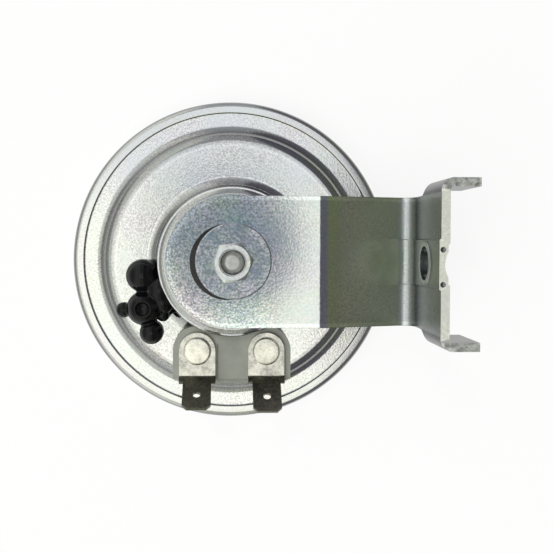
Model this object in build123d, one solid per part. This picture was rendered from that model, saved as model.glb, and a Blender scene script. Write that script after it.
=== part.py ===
from build123d import *
import math
import os

os.makedirs("parts", exist_ok=True)

# Electromagnetic disc horn for a vehicle, with its mounting bracket. Millimetres.
# The origin is on the horn's axis, on the flat front face that it rests on. +Z points to the rear, where
# the bracket, the terminals and the adjuster are, and +X points along the bracket.

# Sheets
HOUSING_SHEET = 1.2
COVER_SHEET = 0.8
BRACKET_SHEET = 1.8
GASKET_SHEET = 0.4
DIAPHRAGM_SHEET = 0.3

# Clearances
STUD_CLEARANCE = 0.1
THREAD_CLEARANCE = 0.05
SLEEVE_CLEARANCE = 0.05
HUB_CLEARANCE = 0.3

# Housing, from the hub outwards and from the flange to the rear
HUB_RADIUS = 16.7
PLATEAU_WIDTH = 13.2
FLANGE_WIDTH = 6.1
PLATEAU_RISE = 9.2
HUB_RISE = 9.0
FLANGE_ROUND = 2.4
SHOULDER_ROUND = 2.4
HUB_BASE_ROUND = 2.8
HUB_TOP_ROUND = 1.9

# Front cover: a slotted plate, a ledge for the gaskets and an edge rolled over the housing's flange
CHAMBER_DEPTH = 3.9
CHAMBER_GAP = 1.2
CHAMBER_ROUND = 1.6
ROLL_SPACE = 1.2
ROLL_COVER = 0.8
ROLL_ROUND = 1.9
ROLL_EDGE_ROUND = 0.35
SLOT_WIDTH = 2.6
SLOT_BRIDGE = 3.4
SLOT_RINGS = 3
SLOT_RING_FIRST = 13.5
SLOT_RING_STEP = 5.6
SLOTS_FIRST_RING = 5
SLOTS_ADDED = 2

# Armature and tone disc, carried by the diaphragm
SHANK_RADIUS = 3.0
RIVETED_HEAD_RADIUS = 4.4
RIVETED_HEAD = 0.7
TONE_WASHER = 0.5
TONE_WASHER_RADIUS = 7.0
TONE_DISC = 0.8
TONE_DISC_RADIUS = 25.0
TONE_DISC_DISH = 0.4
TONE_DISH_RADIUS = 10.0
TONE_SPACER = 1.7
TONE_SPACER_RADIUS = 7.5
ARMATURE_RADIUS = 6.5
ARMATURE_BASE = 1.2
ARMATURE_BASE_RADIUS = 8.0
COLLAR_START = 2.2
COLLAR_THICKNESS = 1.0
COLLAR_RADIUS = 8.6
ARMATURE_LENGTH = 5.6
ARMATURE_CHAMFER = 0.5
AIR_GAP = 0.8

# Pole core and coil
CORE_RADIUS = 6.5
STUD_RADIUS = 2.5
STUD_CHAMFER = 1.0
STUD_SHORT = 0.3
CORE_STANDS_OUT = 0.8
BOBBIN_WALL = 1.0
BOBBIN_FLANGE = 0.9
WINDING_SHORT = 0.5

# Bracket: strip, first bend, slope, second bend, web with two ears
STRIP_WIDTH = 28.8
STRIP_FLAT = 18.9
FIRST_BEND_ROUND = 8.0
SLOPE_ANGLE = 16.0
SLOPE_LENGTH = 17.0
SECOND_BEND_ROUND = 2.65
WEB_HEIGHT = 20.2
WEB_WIDTH = 34.4
EAR_REACH = 7.9
EAR_BEND_ROUND = 2.5
EAR_HEIGHT = 13.4
EAR_FLARE = 2.6
EAR_TIP_ROUND = 2.6
RIB_WIDTH = 9.8
RIB_LIFT = 0.35
RIB_START = 12.0
RIB_RAMP = 3.0
HOLE_RADIUS = 3.6
HOLE_BELOW_END = 10.8
HOLE_RING = 1.0
HOLE_RING_LIFT = 0.35

# Nut and washers on the stud
NUT_FLATS = 8.0
NUT_HEIGHT = 4.0
NUT_ANGLE = 8.0
NUT_COUNTERSINK = 0.3
WASHER_RADIUS = 8.25
WASHER_THICKNESS = 1.2
WASHER_BORE_GAP = 0.3
WASHER_SHIFT_X = 0.2
WASHER_SHIFT_Y = 0.2
FIBRE_THICKNESS = 0.9
FIBRE_SHIFT = 1.0
FIBRE_BORE_GAP = 0.2

# Terminals, their insulator and their rivets
TERMINAL_PITCH = 15.5
TERMINAL_FROM_HUB = 3.4
INSULATOR_HEIGHT = 4.6
INSULATOR_MARGIN = 1.4
INSULATOR_ROUND = 0.5
INSULATOR_EDGE = 3.3
PANEL_WIDTH = 6.6
PANEL_DEPTH = 0.4
PANEL_FROM_RIVETS = 1.5
LEDGE_HEIGHT = 1.2
LEDGE_REACH = 1.3
INNER_PLATE = 1.5
INNER_PLATE_RADIUS = 4.6
TERMINAL_SHEET = 0.8
TERMINAL_WIDTH = 8.2
TERMINAL_REACH = 5.5
TERMINAL_BEND_ROUND = 0.5
SHOULDER_LENGTH = 1.3
BLADE_WIDTH = 6.3
BLADE_LENGTH = 7.9
BLADE_CHAMFER = 1.0
BLADE_HOLE_RADIUS = 0.85
BLADE_HOLE_FROM_TIP = 4.0
LEFT_BLADE_ANGLE = 55.0
RIGHT_BLADE_ANGLE = 48.0
RIVET_RADIUS = 1.5
RIVET_HEAD_RADIUS = 3.1
RIVET_HEAD = 1.0
RIVET_HEAD_ROUND = 0.35
RIVET_TAIL_RADIUS = 2.7
RIVET_TAIL = 0.8
BUSH_WALL = 0.9

# Contact breaker inside the housing, beside the armature
BREAKER_FROM_HUB = 5.0
BREAKER_ANGLE = 189.5
BREAKER_RIVET_RADIUS = 1.2
BREAKER_PAD_RADIUS = 3.2
BREAKER_HEAD_RADIUS = 2.0
BREAKER_HEAD = 1.0
BREAKER_TAIL = 0.6
BREAKER_WASHER = 0.6
SPACER_RADIUS = 2.4
SPIGOT_WALL = 0.55
SPRING_SHEET = 0.3
SPRING_WIDTH = 5.0
SPRING_GAP = 0.3
SPRING_OVERLAP = 1.2
CONTACT_RADIUS = 1.5
CONTACT_HEIGHT = 0.8
CONTACT_FROM_COLLAR = 3.4
FIXED_ARM_SHEET = 0.7
FIXED_ARM_GAP = 1.6
FIXED_ARM_WIDTH = 5.0
STRIP_SHEET = 0.5
CONTACT_STRIP_WIDTH = 2.2
STRIP_PAD_RADIUS = 2.9
LEAD_RADIUS = 0.35
LEAD_BEND = 0.8
LEAD_DROP = 1.6

# Adjuster screw and the sealant over it
ADJUSTER_FROM_HUB = 6.1
ADJUSTER_ANGLE = 208.3
ADJUSTER_RADIUS = 2.0
ADJUSTER_BOSS_WALL = 1.15
ADJUSTER_BOSS = 1.2
ADJUSTER_STANDS_OUT = 2.2
ADJUSTER_SOCKET_RADIUS = 0.9
ADJUSTER_SOCKET_DEPTH = 1.6
SEALANT_LEVEL = 1.0
SEALANT_BALL_RADIUS = 3.8
SEALANT_BALL_SHIFT = 1.0
SEALANT_DOME_RADIUS = 3.95
SEALANT_DOME_RAISE = 0.2
SEALANT_CRATER_RADIUS = 1.75
SEALANT_CRATER_DEPTH = 1.3
# Smaller drops: distance along X and Y from the adjuster, height over the sealant's level, radius
SEALANT_DROPS = (
    (-4.7, -0.5, -0.5, 1.8),
    (1.7, -5.6, 0.0, 2.75),
    (3.6, 4.0, 0.2, 3.2),
    (4.3, 1.2, 0.0, 2.6),
    (4.3, -1.7, -0.4, 1.5),
)

# Heights of the stack, from the front face to the nut
LEDGE_Z = CHAMBER_DEPTH + COVER_SHEET
DIAPHRAGM_Z = LEDGE_Z + GASKET_SHEET
REAR_GASKET_Z = DIAPHRAGM_Z + DIAPHRAGM_SHEET
FLANGE_Z = REAR_GASKET_Z + GASKET_SHEET
FLANGE_REAR_Z = FLANGE_Z + HOUSING_SHEET
PLATEAU_Z = FLANGE_REAR_Z + PLATEAU_RISE
PLATEAU_UNDER_Z = PLATEAU_Z - HOUSING_SHEET
HUB_Z = PLATEAU_Z + HUB_RISE
HUB_UNDER_Z = HUB_Z - HOUSING_SHEET
STRIP_Z = HUB_Z + BRACKET_SHEET
WASHER_Z = STRIP_Z + FIBRE_THICKNESS
NUT_Z = WASHER_Z + WASHER_THICKNESS
NUT_TOP_Z = NUT_Z + NUT_HEIGHT

# Radii of the shells
WALL_RADIUS = HUB_RADIUS + PLATEAU_WIDTH
FLANGE_RADIUS = WALL_RADIUS + FLANGE_WIDTH
RIM_RADIUS = FLANGE_RADIUS + ROLL_SPACE + COVER_SHEET
ROLL_INNER_RADIUS = FLANGE_RADIUS - ROLL_COVER
CHAMBER_RADIUS = WALL_RADIUS + COVER_SHEET + CHAMBER_GAP
GASKET_INNER_RADIUS = CHAMBER_RADIUS + HUB_CLEARANCE

# Heights of the armature and the breaker
ARMATURE_Z = REAR_GASKET_Z
SPACER_Z = DIAPHRAGM_Z - TONE_SPACER
TONE_DISC_Z = SPACER_Z - TONE_DISC
TONE_WASHER_Z = TONE_DISC_Z - TONE_WASHER
COLLAR_Z = ARMATURE_Z + COLLAR_START
COLLAR_TOP_Z = COLLAR_Z + COLLAR_THICKNESS
ARMATURE_TOP_Z = ARMATURE_Z + ARMATURE_LENGTH
CORE_FACE_Z = ARMATURE_TOP_Z + AIR_GAP
BOBBIN_Z = CORE_FACE_Z + CORE_STANDS_OUT
BOBBIN_RADIUS = HUB_RADIUS - HUB_TOP_ROUND - HUB_CLEARANCE
SPRING_Z = COLLAR_TOP_Z + SPRING_GAP
SPRING_TOP_Z = SPRING_Z + SPRING_SHEET
FIXED_ARM_TOP_Z = SPRING_Z - 2 * CONTACT_HEIGHT
FIXED_ARM_Z = FIXED_ARM_TOP_Z - FIXED_ARM_SHEET
INNER_PLATE_Z = PLATEAU_UNDER_Z - INNER_PLATE
STRIP_UNDER_Z = INNER_PLATE_Z - STRIP_SHEET

# Places seen from the rear
TERMINAL_Y = -(HUB_RADIUS + TERMINAL_FROM_HUB)
LEFT_RIVET = (-TERMINAL_PITCH / 2, TERMINAL_Y)
RIGHT_RIVET = (TERMINAL_PITCH / 2, TERMINAL_Y)
BREAKER_RADIUS = HUB_RADIUS + BREAKER_FROM_HUB
BREAKER_WASHER_RADIUS = BREAKER_FROM_HUB - HUB_BASE_ROUND
ADJUSTER_FROM_AXIS = HUB_RADIUS + ADJUSTER_FROM_HUB


def polar(radius, angle):
    """Point at a distance from the axis, at an angle in degrees from +X."""
    turn = math.radians(angle)
    return (radius * math.cos(turn), radius * math.sin(turn))


BREAKER_AT = polar(BREAKER_RADIUS, BREAKER_ANGLE)
ADJUSTER_AT = polar(ADJUSTER_FROM_AXIS, ADJUSTER_ANGLE)
TAG_ANGLE = math.degrees(math.atan2(RIGHT_RIVET[1], RIGHT_RIVET[0]))
CONTACT_AT = polar(COLLAR_RADIUS + CONTACT_FROM_COLLAR, BREAKER_ANGLE)


def outline(corners):
    """Closed face from corners (u, v, rounding)."""
    points = [(u, v) for u, v, rounding in corners]
    radii = [rounding for u, v, rounding in corners]
    return make_face(FilletPolyline(points, radius=radii, close=True))


def turned(corners):
    """Solid of revolution about the axis from corners (radius, height, rounding)."""
    return revolve(Plane.XZ * outline(corners), Axis.Z)


def ring(inner, outer, low, high):
    """Flat ring, or a disc if inner is 0."""
    section = Circle(outer)
    if inner > 0:
        section = section - Circle(inner)
    return Pos(0, 0, low) * extrude(section, amount=high - low)


def ring_at(place, inner, outer, low, high):
    """Flat ring at a place beside the axis."""
    return Pos(place[0], place[1], 0) * ring(inner, outer, low, high)


def arm(start, end, width):
    """Flat strip with round ends between two places."""
    length = math.dist(start, end)
    middle = ((start[0] + end[0]) / 2, (start[1] + end[1]) / 2)
    turn = math.degrees(math.atan2(end[1] - start[1], end[0] - start[0]))
    return Pos(*middle) * Rot(0, 0, turn) * SlotCenterToCenter(length, width)


def housing_form():
    """The housing's outer form, filled: what sits on the housing is cut to this shape."""
    return turned([
        (0, FLANGE_Z, 0),
        (FLANGE_RADIUS, FLANGE_Z, 0),
        (FLANGE_RADIUS, FLANGE_REAR_Z, 0),
        (WALL_RADIUS, FLANGE_REAR_Z, FLANGE_ROUND),
        (WALL_RADIUS, PLATEAU_Z, SHOULDER_ROUND),
        (HUB_RADIUS, PLATEAU_Z, HUB_BASE_ROUND),
        (HUB_RADIUS, HUB_Z, HUB_TOP_ROUND),
        (0, HUB_Z, 0),
    ])


def housing():
    """Drawn steel shell, one sheet from the flange to the hub, with holes for what passes through."""
    inner_wall = WALL_RADIUS - HOUSING_SHEET
    inner_hub = HUB_RADIUS - HOUSING_SHEET
    hole = STUD_RADIUS + STUD_CLEARANCE
    shell = turned([
        (FLANGE_RADIUS, FLANGE_REAR_Z, 0),
        (WALL_RADIUS, FLANGE_REAR_Z, FLANGE_ROUND),
        (WALL_RADIUS, PLATEAU_Z, SHOULDER_ROUND),
        (HUB_RADIUS, PLATEAU_Z, HUB_BASE_ROUND),
        (HUB_RADIUS, HUB_Z, HUB_TOP_ROUND),
        (hole, HUB_Z, 0),
        (hole, HUB_UNDER_Z, 0),
        (inner_hub, HUB_UNDER_Z, HUB_TOP_ROUND - HOUSING_SHEET),
        (inner_hub, PLATEAU_UNDER_Z, HUB_BASE_ROUND + HOUSING_SHEET),
        (inner_wall, PLATEAU_UNDER_Z, SHOULDER_ROUND - HOUSING_SHEET),
        (inner_wall, FLANGE_Z, FLANGE_ROUND + HOUSING_SHEET),
        (FLANGE_RADIUS, FLANGE_Z, 0),
    ])
    thread_hole = ADJUSTER_RADIUS + THREAD_CLEARANCE
    boss_low = PLATEAU_UNDER_Z - ADJUSTER_BOSS
    boss = ring_at(ADJUSTER_AT, 0, thread_hole + ADJUSTER_BOSS_WALL, boss_low, PLATEAU_UNDER_Z)
    body = shell + boss
    body -= ring_at(ADJUSTER_AT, 0, thread_hole, boss_low, PLATEAU_Z)
    bush_hole = RIVET_RADIUS + BUSH_WALL + 2 * SLEEVE_CLEARANCE
    for place in (LEFT_RIVET, RIGHT_RIVET):
        body -= ring_at(place, 0, bush_hole, PLATEAU_UNDER_Z, PLATEAU_Z)
    breaker_hole = BREAKER_RIVET_RADIUS + BUSH_WALL + 2 * SLEEVE_CLEARANCE
    body -= ring_at(BREAKER_AT, 0, breaker_hole, PLATEAU_UNDER_Z, PLATEAU_Z)
    return body


def sound_slots():
    """Rings of curved slots, as flat shapes: each ring has more slots than the one inside it."""
    shapes = Sketch()
    for number in range(SLOT_RINGS):
        radius = SLOT_RING_FIRST + number * SLOT_RING_STEP
        count = SLOTS_FIRST_RING + number * SLOTS_ADDED
        pitch = 360 / count
        bridge = math.degrees((SLOT_BRIDGE + SLOT_WIDTH) / radius)
        for turn in range(count):
            middle_line = CenterArc((0, 0), radius, turn * pitch, pitch - bridge)
            shapes += SlotArc(middle_line, SLOT_WIDTH)
    return shapes


def front_cover():
    """Stamped front plate with sound slots. Its edge is rolled over the housing's flange."""
    roll_top = FLANGE_REAR_Z + COVER_SHEET
    inner_wall = RIM_RADIUS - COVER_SHEET
    inner_chamber = CHAMBER_RADIUS - COVER_SHEET
    shell = turned([
        (0, 0, 0),
        (CHAMBER_RADIUS, 0, CHAMBER_ROUND),
        (CHAMBER_RADIUS, CHAMBER_DEPTH, CHAMBER_ROUND - COVER_SHEET),
        (RIM_RADIUS, CHAMBER_DEPTH, CHAMBER_ROUND),
        (RIM_RADIUS, roll_top, ROLL_ROUND),
        (ROLL_INNER_RADIUS, roll_top, ROLL_EDGE_ROUND),
        (ROLL_INNER_RADIUS, FLANGE_REAR_Z, 0),
        (inner_wall, FLANGE_REAR_Z, ROLL_ROUND - COVER_SHEET),
        (inner_wall, LEDGE_Z, CHAMBER_ROUND - COVER_SHEET),
        (inner_chamber, LEDGE_Z, CHAMBER_ROUND),
        (inner_chamber, COVER_SHEET, CHAMBER_ROUND - COVER_SHEET),
        (0, COVER_SHEET, 0),
    ])
    return shell - extrude(sound_slots(), amount=COVER_SHEET)


def diaphragm():
    """Thin steel disc, clamped at its edge, that carries the armature at its centre."""
    return ring(
        SHANK_RADIUS + SLEEVE_CLEARANCE,
        FLANGE_RADIUS,
        DIAPHRAGM_Z,
        REAR_GASKET_Z,
    )


def tone_disc():
    """Thin disc whose outer part is dished a little towards the diaphragm."""
    bore = SHANK_RADIUS + SLEEVE_CLEARANCE
    top = TONE_DISC_Z + TONE_DISC
    dish = TONE_DISH_RADIUS + 4 * TONE_DISC_DISH
    return turned([
        (bore, TONE_DISC_Z, 0),
        (TONE_DISH_RADIUS, TONE_DISC_Z, 0),
        (dish, TONE_DISC_Z + TONE_DISC_DISH, 0),
        (TONE_DISC_RADIUS, TONE_DISC_Z + TONE_DISC_DISH, 0),
        (TONE_DISC_RADIUS, top + TONE_DISC_DISH, 0),
        (dish, top + TONE_DISC_DISH, 0),
        (TONE_DISH_RADIUS, top, 0),
        (bore, top, 0),
    ])


def armature():
    """Turned plunger: a riveted-over shank, a base on the diaphragm, a collar and the pole end."""
    head_low = TONE_WASHER_Z - RIVETED_HEAD
    base_top = ARMATURE_Z + ARMATURE_BASE
    chamfer_radius = ARMATURE_RADIUS - ARMATURE_CHAMFER
    return turned([
        (0, head_low, 0),
        (RIVETED_HEAD_RADIUS, head_low, RIVETED_HEAD / 2),
        (RIVETED_HEAD_RADIUS, TONE_WASHER_Z, 0),
        (SHANK_RADIUS, TONE_WASHER_Z, 0),
        (SHANK_RADIUS, ARMATURE_Z, 0),
        (ARMATURE_BASE_RADIUS, ARMATURE_Z, 0),
        (ARMATURE_BASE_RADIUS, base_top, 0),
        (ARMATURE_RADIUS, base_top, 0),
        (ARMATURE_RADIUS, COLLAR_Z, 0),
        (COLLAR_RADIUS, COLLAR_Z, 0),
        (COLLAR_RADIUS, COLLAR_TOP_Z, 0),
        (ARMATURE_RADIUS, COLLAR_TOP_Z, 0),
        (ARMATURE_RADIUS, ARMATURE_TOP_Z - ARMATURE_CHAMFER, 0),
        (chamfer_radius, ARMATURE_TOP_Z, 0),
        (0, ARMATURE_TOP_Z, 0),
    ])


def pole_core():
    """Turned steel core inside the coil, with the stud that carries the bracket."""
    stud_top = NUT_TOP_Z - STUD_SHORT
    return turned([
        (0, CORE_FACE_Z, 0),
        (CORE_RADIUS, CORE_FACE_Z, 0),
        (CORE_RADIUS, HUB_UNDER_Z, 0),
        (STUD_RADIUS, HUB_UNDER_Z, 0),
        (STUD_RADIUS, stud_top - STUD_CHAMFER, 0),
        (STUD_RADIUS - STUD_CHAMFER, stud_top, 0),
        (0, stud_top, 0),
    ])


def coil_bobbin():
    """Moulded bobbin on the core, held against the hub."""
    bore = CORE_RADIUS + SLEEVE_CLEARANCE
    barrel = bore + BOBBIN_WALL
    return turned([
        (bore, BOBBIN_Z, 0),
        (BOBBIN_RADIUS, BOBBIN_Z, 0),
        (BOBBIN_RADIUS, BOBBIN_Z + BOBBIN_FLANGE, 0),
        (barrel, BOBBIN_Z + BOBBIN_FLANGE, 0),
        (barrel, HUB_UNDER_Z - BOBBIN_FLANGE, 0),
        (BOBBIN_RADIUS, HUB_UNDER_Z - BOBBIN_FLANGE, 0),
        (BOBBIN_RADIUS, HUB_UNDER_Z, 0),
        (bore, HUB_UNDER_Z, 0),
    ])


def coil_winding():
    """Copper winding that fills the bobbin."""
    barrel = CORE_RADIUS + SLEEVE_CLEARANCE + BOBBIN_WALL
    return ring(
        barrel,
        BOBBIN_RADIUS - WINDING_SHORT,
        BOBBIN_Z + BOBBIN_FLANGE,
        HUB_UNDER_Z - BOBBIN_FLANGE,
    )


def bracket_side(lift):
    """Side view of the bracket's strip and web, with what is past RIB_START raised by lift."""
    slope = math.radians(SLOPE_ANGLE)
    along = Vector(math.cos(slope), -math.sin(slope))
    normal = Vector(math.sin(slope), math.cos(slope))
    bend_start = Vector(STRIP_FLAT, STRIP_Z)
    bend_centre = Vector(STRIP_FLAT, STRIP_Z - FIRST_BEND_ROUND)
    bend_end = bend_centre + normal * FIRST_BEND_ROUND
    slope_end = bend_end + along * SLOPE_LENGTH
    web_centre = slope_end + normal * SECOND_BEND_ROUND
    inner = SECOND_BEND_ROUND - lift
    outer = inner + BRACKET_SHEET
    web_end_z = web_centre.Y + WEB_HEIGHT
    top = [
        bend_end + along * RIB_START,
        bend_end + along * (RIB_START + RIB_RAMP) + normal * lift,
        web_centre - normal * inner,
    ]
    bottom = [point - normal * BRACKET_SHEET for point in top]
    mid_turn = (90 - SLOPE_ANGLE) / 2
    arc_middle = Vector(math.sin(math.radians(mid_turn)), -math.cos(math.radians(mid_turn)))
    left = -STRIP_WIDTH / 2
    strip_under = STRIP_Z - BRACKET_SHEET
    first_middle = Vector(math.sin(slope / 2), math.cos(slope / 2))
    under_round = FIRST_BEND_ROUND - BRACKET_SHEET
    edges = [
        Line((left, STRIP_Z), bend_start),
        ThreePointArc(bend_start, bend_centre + first_middle * FIRST_BEND_ROUND, bend_end),
        Polyline(bend_end, *top),
        ThreePointArc(top[-1], web_centre + arc_middle * inner, web_centre + Vector(inner, 0)),
        Polyline(
            web_centre + Vector(inner, 0),
            (web_centre.X + inner, web_end_z),
            (web_centre.X + outer, web_end_z),
            web_centre + Vector(outer, 0),
        ),
        ThreePointArc(web_centre + Vector(outer, 0), web_centre + arc_middle * outer, bottom[-1]),
        Polyline(bottom[-1], bottom[1], bottom[0], bend_centre + normal * under_round),
        ThreePointArc(
            bend_centre + normal * under_round,
            bend_centre + first_middle * under_round,
            (STRIP_FLAT, strip_under),
        ),
        Polyline((STRIP_FLAT, strip_under), (left, strip_under), (left, STRIP_Z)),
    ]
    return make_face(edges), web_centre, web_end_z


def band(side, low, high):
    """The side view made solid between two places across the strip."""
    return extrude(Plane.XZ.offset(-high) * side, amount=high - low)


def bracket():
    """Bent strip with a round end, a pressed rib, and a U-shaped web with a hole and two ears."""
    half = STRIP_WIDTH / 2
    half_rib = RIB_WIDTH / 2
    plain_side, web_centre, end_z = bracket_side(0)
    rib_side, _, _ = bracket_side(RIB_LIFT)
    strip = band(plain_side, -half, -half_rib)
    strip += band(rib_side, -half_rib, half_rib)
    strip += band(plain_side, half_rib, half)
    web_left = web_centre.X + SECOND_BEND_ROUND
    plan = Circle(half) + Pos(half + web_left / 2, 0) * Rectangle(web_left + STRIP_WIDTH, STRIP_WIDTH)
    strip = strip & extrude(plan, amount=end_z)

    web_right = web_left + BRACKET_SHEET
    tip = web_left + EAR_REACH
    half_web = WEB_WIDTH / 2
    inside = half_web - BRACKET_SHEET
    inner_round = EAR_BEND_ROUND - BRACKET_SHEET
    channel = outline([
        (web_left, -half_web, EAR_BEND_ROUND),
        (tip, -half_web, 0),
        (tip, -inside, 0),
        (web_right, -inside, inner_round),
        (web_right, inside, inner_round),
        (tip, inside, 0),
        (tip, half_web, 0),
        (web_left, half_web, EAR_BEND_ROUND),
    ])
    ear_z = end_z - EAR_HEIGHT
    flare_z = ear_z - EAR_FLARE
    low_z = web_centre.Y
    past = half_web + half + EAR_FLARE
    front_view = outline([
        (-half, low_z, 0),
        (half, low_z, 0),
        (half, ear_z, EAR_FLARE),
        (past, ear_z, 0),
        (past, end_z, 0),
        (-past, end_z, 0),
        (-past, ear_z, 0),
        (-half, ear_z, EAR_FLARE),
    ])
    side_view = outline([
        (web_left, low_z, 0),
        (web_right + inner_round, low_z, 0),
        (web_right + inner_round, ear_z, 0),
        (tip, ear_z, EAR_TIP_ROUND),
        (tip, end_z, 0),
        (web_left, end_z, 0),
    ])
    web = Pos(0, 0, low_z) * extrude(channel, amount=end_z - low_z)
    web = web & (Pos(web_left, 0, 0) * extrude(Plane.YZ * front_view, amount=EAR_REACH))
    web = web & extrude(Plane.XZ * side_view, amount=half_web, both=True)
    web = web - Pos(web_left, 0, low_z) * Box(
        4 * BRACKET_SHEET,
        RIB_WIDTH,
        2 * WEB_HEIGHT,
        align=(Align.CENTER, Align.CENTER, Align.MIN),
    )
    body = strip + web

    hole_z = end_z - HOLE_BELOW_END
    facing_left = Plane(origin=(web_left - RIB_LIFT, 0, hole_z), x_dir=(0, 1, 0), z_dir=(-1, 0, 0))
    collar = Circle(HOLE_RADIUS + HOLE_RING)
    body += facing_left * extrude(collar, amount=HOLE_RING_LIFT)
    through = facing_left.offset(HOLE_RING_LIFT)
    body -= through * extrude(Circle(HOLE_RADIUS), amount=-(BRACKET_SHEET + 2 * HOLE_RING_LIFT))
    body -= Pos(0, 0, HUB_Z) * extrude(Circle(STUD_RADIUS + STUD_CLEARANCE), amount=BRACKET_SHEET)
    return body


def bracket_nut():
    """Hexagon nut with both faces chamfered to a circle."""
    corner = NUT_FLATS / 2 / math.cos(math.radians(30))
    bore = STUD_RADIUS + THREAD_CLEARANCE
    chamfer = corner - NUT_FLATS / 2
    hexagon = Rot(0, 0, NUT_ANGLE) * RegularPolygon(corner, 6)
    blank = Pos(0, 0, NUT_Z) * extrude(hexagon, amount=NUT_HEIGHT)
    drop = chamfer * math.tan(math.radians(30))
    skin = turned([
        (bore + NUT_COUNTERSINK, NUT_Z, 0),
        (NUT_FLATS / 2 - NUT_COUNTERSINK, NUT_Z, 0),
        (corner, NUT_Z + drop + NUT_COUNTERSINK, 0),
        (corner, NUT_TOP_Z - drop - NUT_COUNTERSINK, 0),
        (NUT_FLATS / 2 - NUT_COUNTERSINK, NUT_TOP_Z, 0),
        (bore + NUT_COUNTERSINK, NUT_TOP_Z, 0),
        (bore, NUT_TOP_Z - NUT_COUNTERSINK, 0),
        (bore, NUT_Z + NUT_COUNTERSINK, 0),
    ])
    return blank & skin


def bracket_washer():
    """Large plain washer, a little off centre on the stud."""
    shift = math.hypot(WASHER_SHIFT_X, WASHER_SHIFT_Y)
    bore = STUD_RADIUS + shift + WASHER_BORE_GAP
    return ring_at((WASHER_SHIFT_X, WASHER_SHIFT_Y), bore, WASHER_RADIUS, WASHER_Z, NUT_Z)


def fibre_washer():
    """Black washer between the bracket and the steel washer, pushed to the left."""
    bore = STUD_RADIUS + FIBRE_SHIFT + FIBRE_BORE_GAP
    return ring_at((-FIBRE_SHIFT, 0), bore, WASHER_RADIUS, STRIP_Z, WASHER_Z)


def terminal_insulator():
    """Moulded block with a lobe round each terminal, cut to fit the housing's plateau and shoulder."""
    lobe = TERMINAL_WIDTH / 2 + INSULATOR_MARGIN
    half = TERMINAL_PITCH / 2
    front = WALL_RADIUS - INSULATOR_EDGE
    inner = HUB_RADIUS + HUB_CLEARANCE
    depth = front + TERMINAL_Y
    lower = Pos(0, TERMINAL_Y - depth / 2) * Rectangle(TERMINAL_PITCH + 2 * lobe, depth)
    bridge = Pos(0, -front / 2) * Rectangle(TERMINAL_PITCH - lobe, front)
    plan = lower + bridge
    for side in (-half, half):
        plan += Pos(side, TERMINAL_Y) * Circle(lobe)
    upper = plan - Circle(inner)
    top = PLATEAU_Z + INSULATOR_HEIGHT
    block = Pos(0, 0, PLATEAU_Z - LEDGE_HEIGHT) * extrude(upper, amount=INSULATOR_HEIGHT + LEDGE_HEIGHT)
    block = fillet(block.faces().sort_by(Axis.Z)[-1].edges(), INSULATOR_ROUND)
    panel_start = TERMINAL_Y + PANEL_FROM_RIVETS
    panel = Pos(0, panel_start - front / 2, top) * Box(PANEL_WIDTH, front, 2 * PANEL_DEPTH)
    block -= panel
    ledge_width = TERMINAL_PITCH + 2 * lobe - 2 * INSULATOR_ROUND
    longer = Pos(0, TERMINAL_Y - front / 2) * Rectangle(ledge_width, front)
    ledge_plan = longer & (Circle(front + LEDGE_REACH) - Circle(front - INSULATOR_MARGIN))
    block += Pos(0, 0, PLATEAU_Z - LEDGE_HEIGHT) * extrude(ledge_plan, amount=2 * LEDGE_HEIGHT)
    block -= housing_form()
    for place in (LEFT_RIVET, RIGHT_RIVET):
        block -= ring_at(place, 0, RIVET_RADIUS + SLEEVE_CLEARANCE, PLATEAU_Z, top)
    return block


def terminal_inner_plate():
    """Insulating plate inside the housing, with a bush round each rivet through the housing."""
    plan = arm(LEFT_RIVET, RIGHT_RIVET, 2 * INNER_PLATE_RADIUS)
    plate = Pos(0, 0, INNER_PLATE_Z) * extrude(plan, amount=INNER_PLATE)
    for place in (LEFT_RIVET, RIGHT_RIVET):
        plate += ring_at(place, 0, RIVET_RADIUS + BUSH_WALL + SLEEVE_CLEARANCE, INNER_PLATE_Z, PLATEAU_Z)
        plate -= ring_at(place, 0, RIVET_RADIUS + SLEEVE_CLEARANCE, INNER_PLATE_Z, PLATEAU_Z)
    return plate


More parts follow.
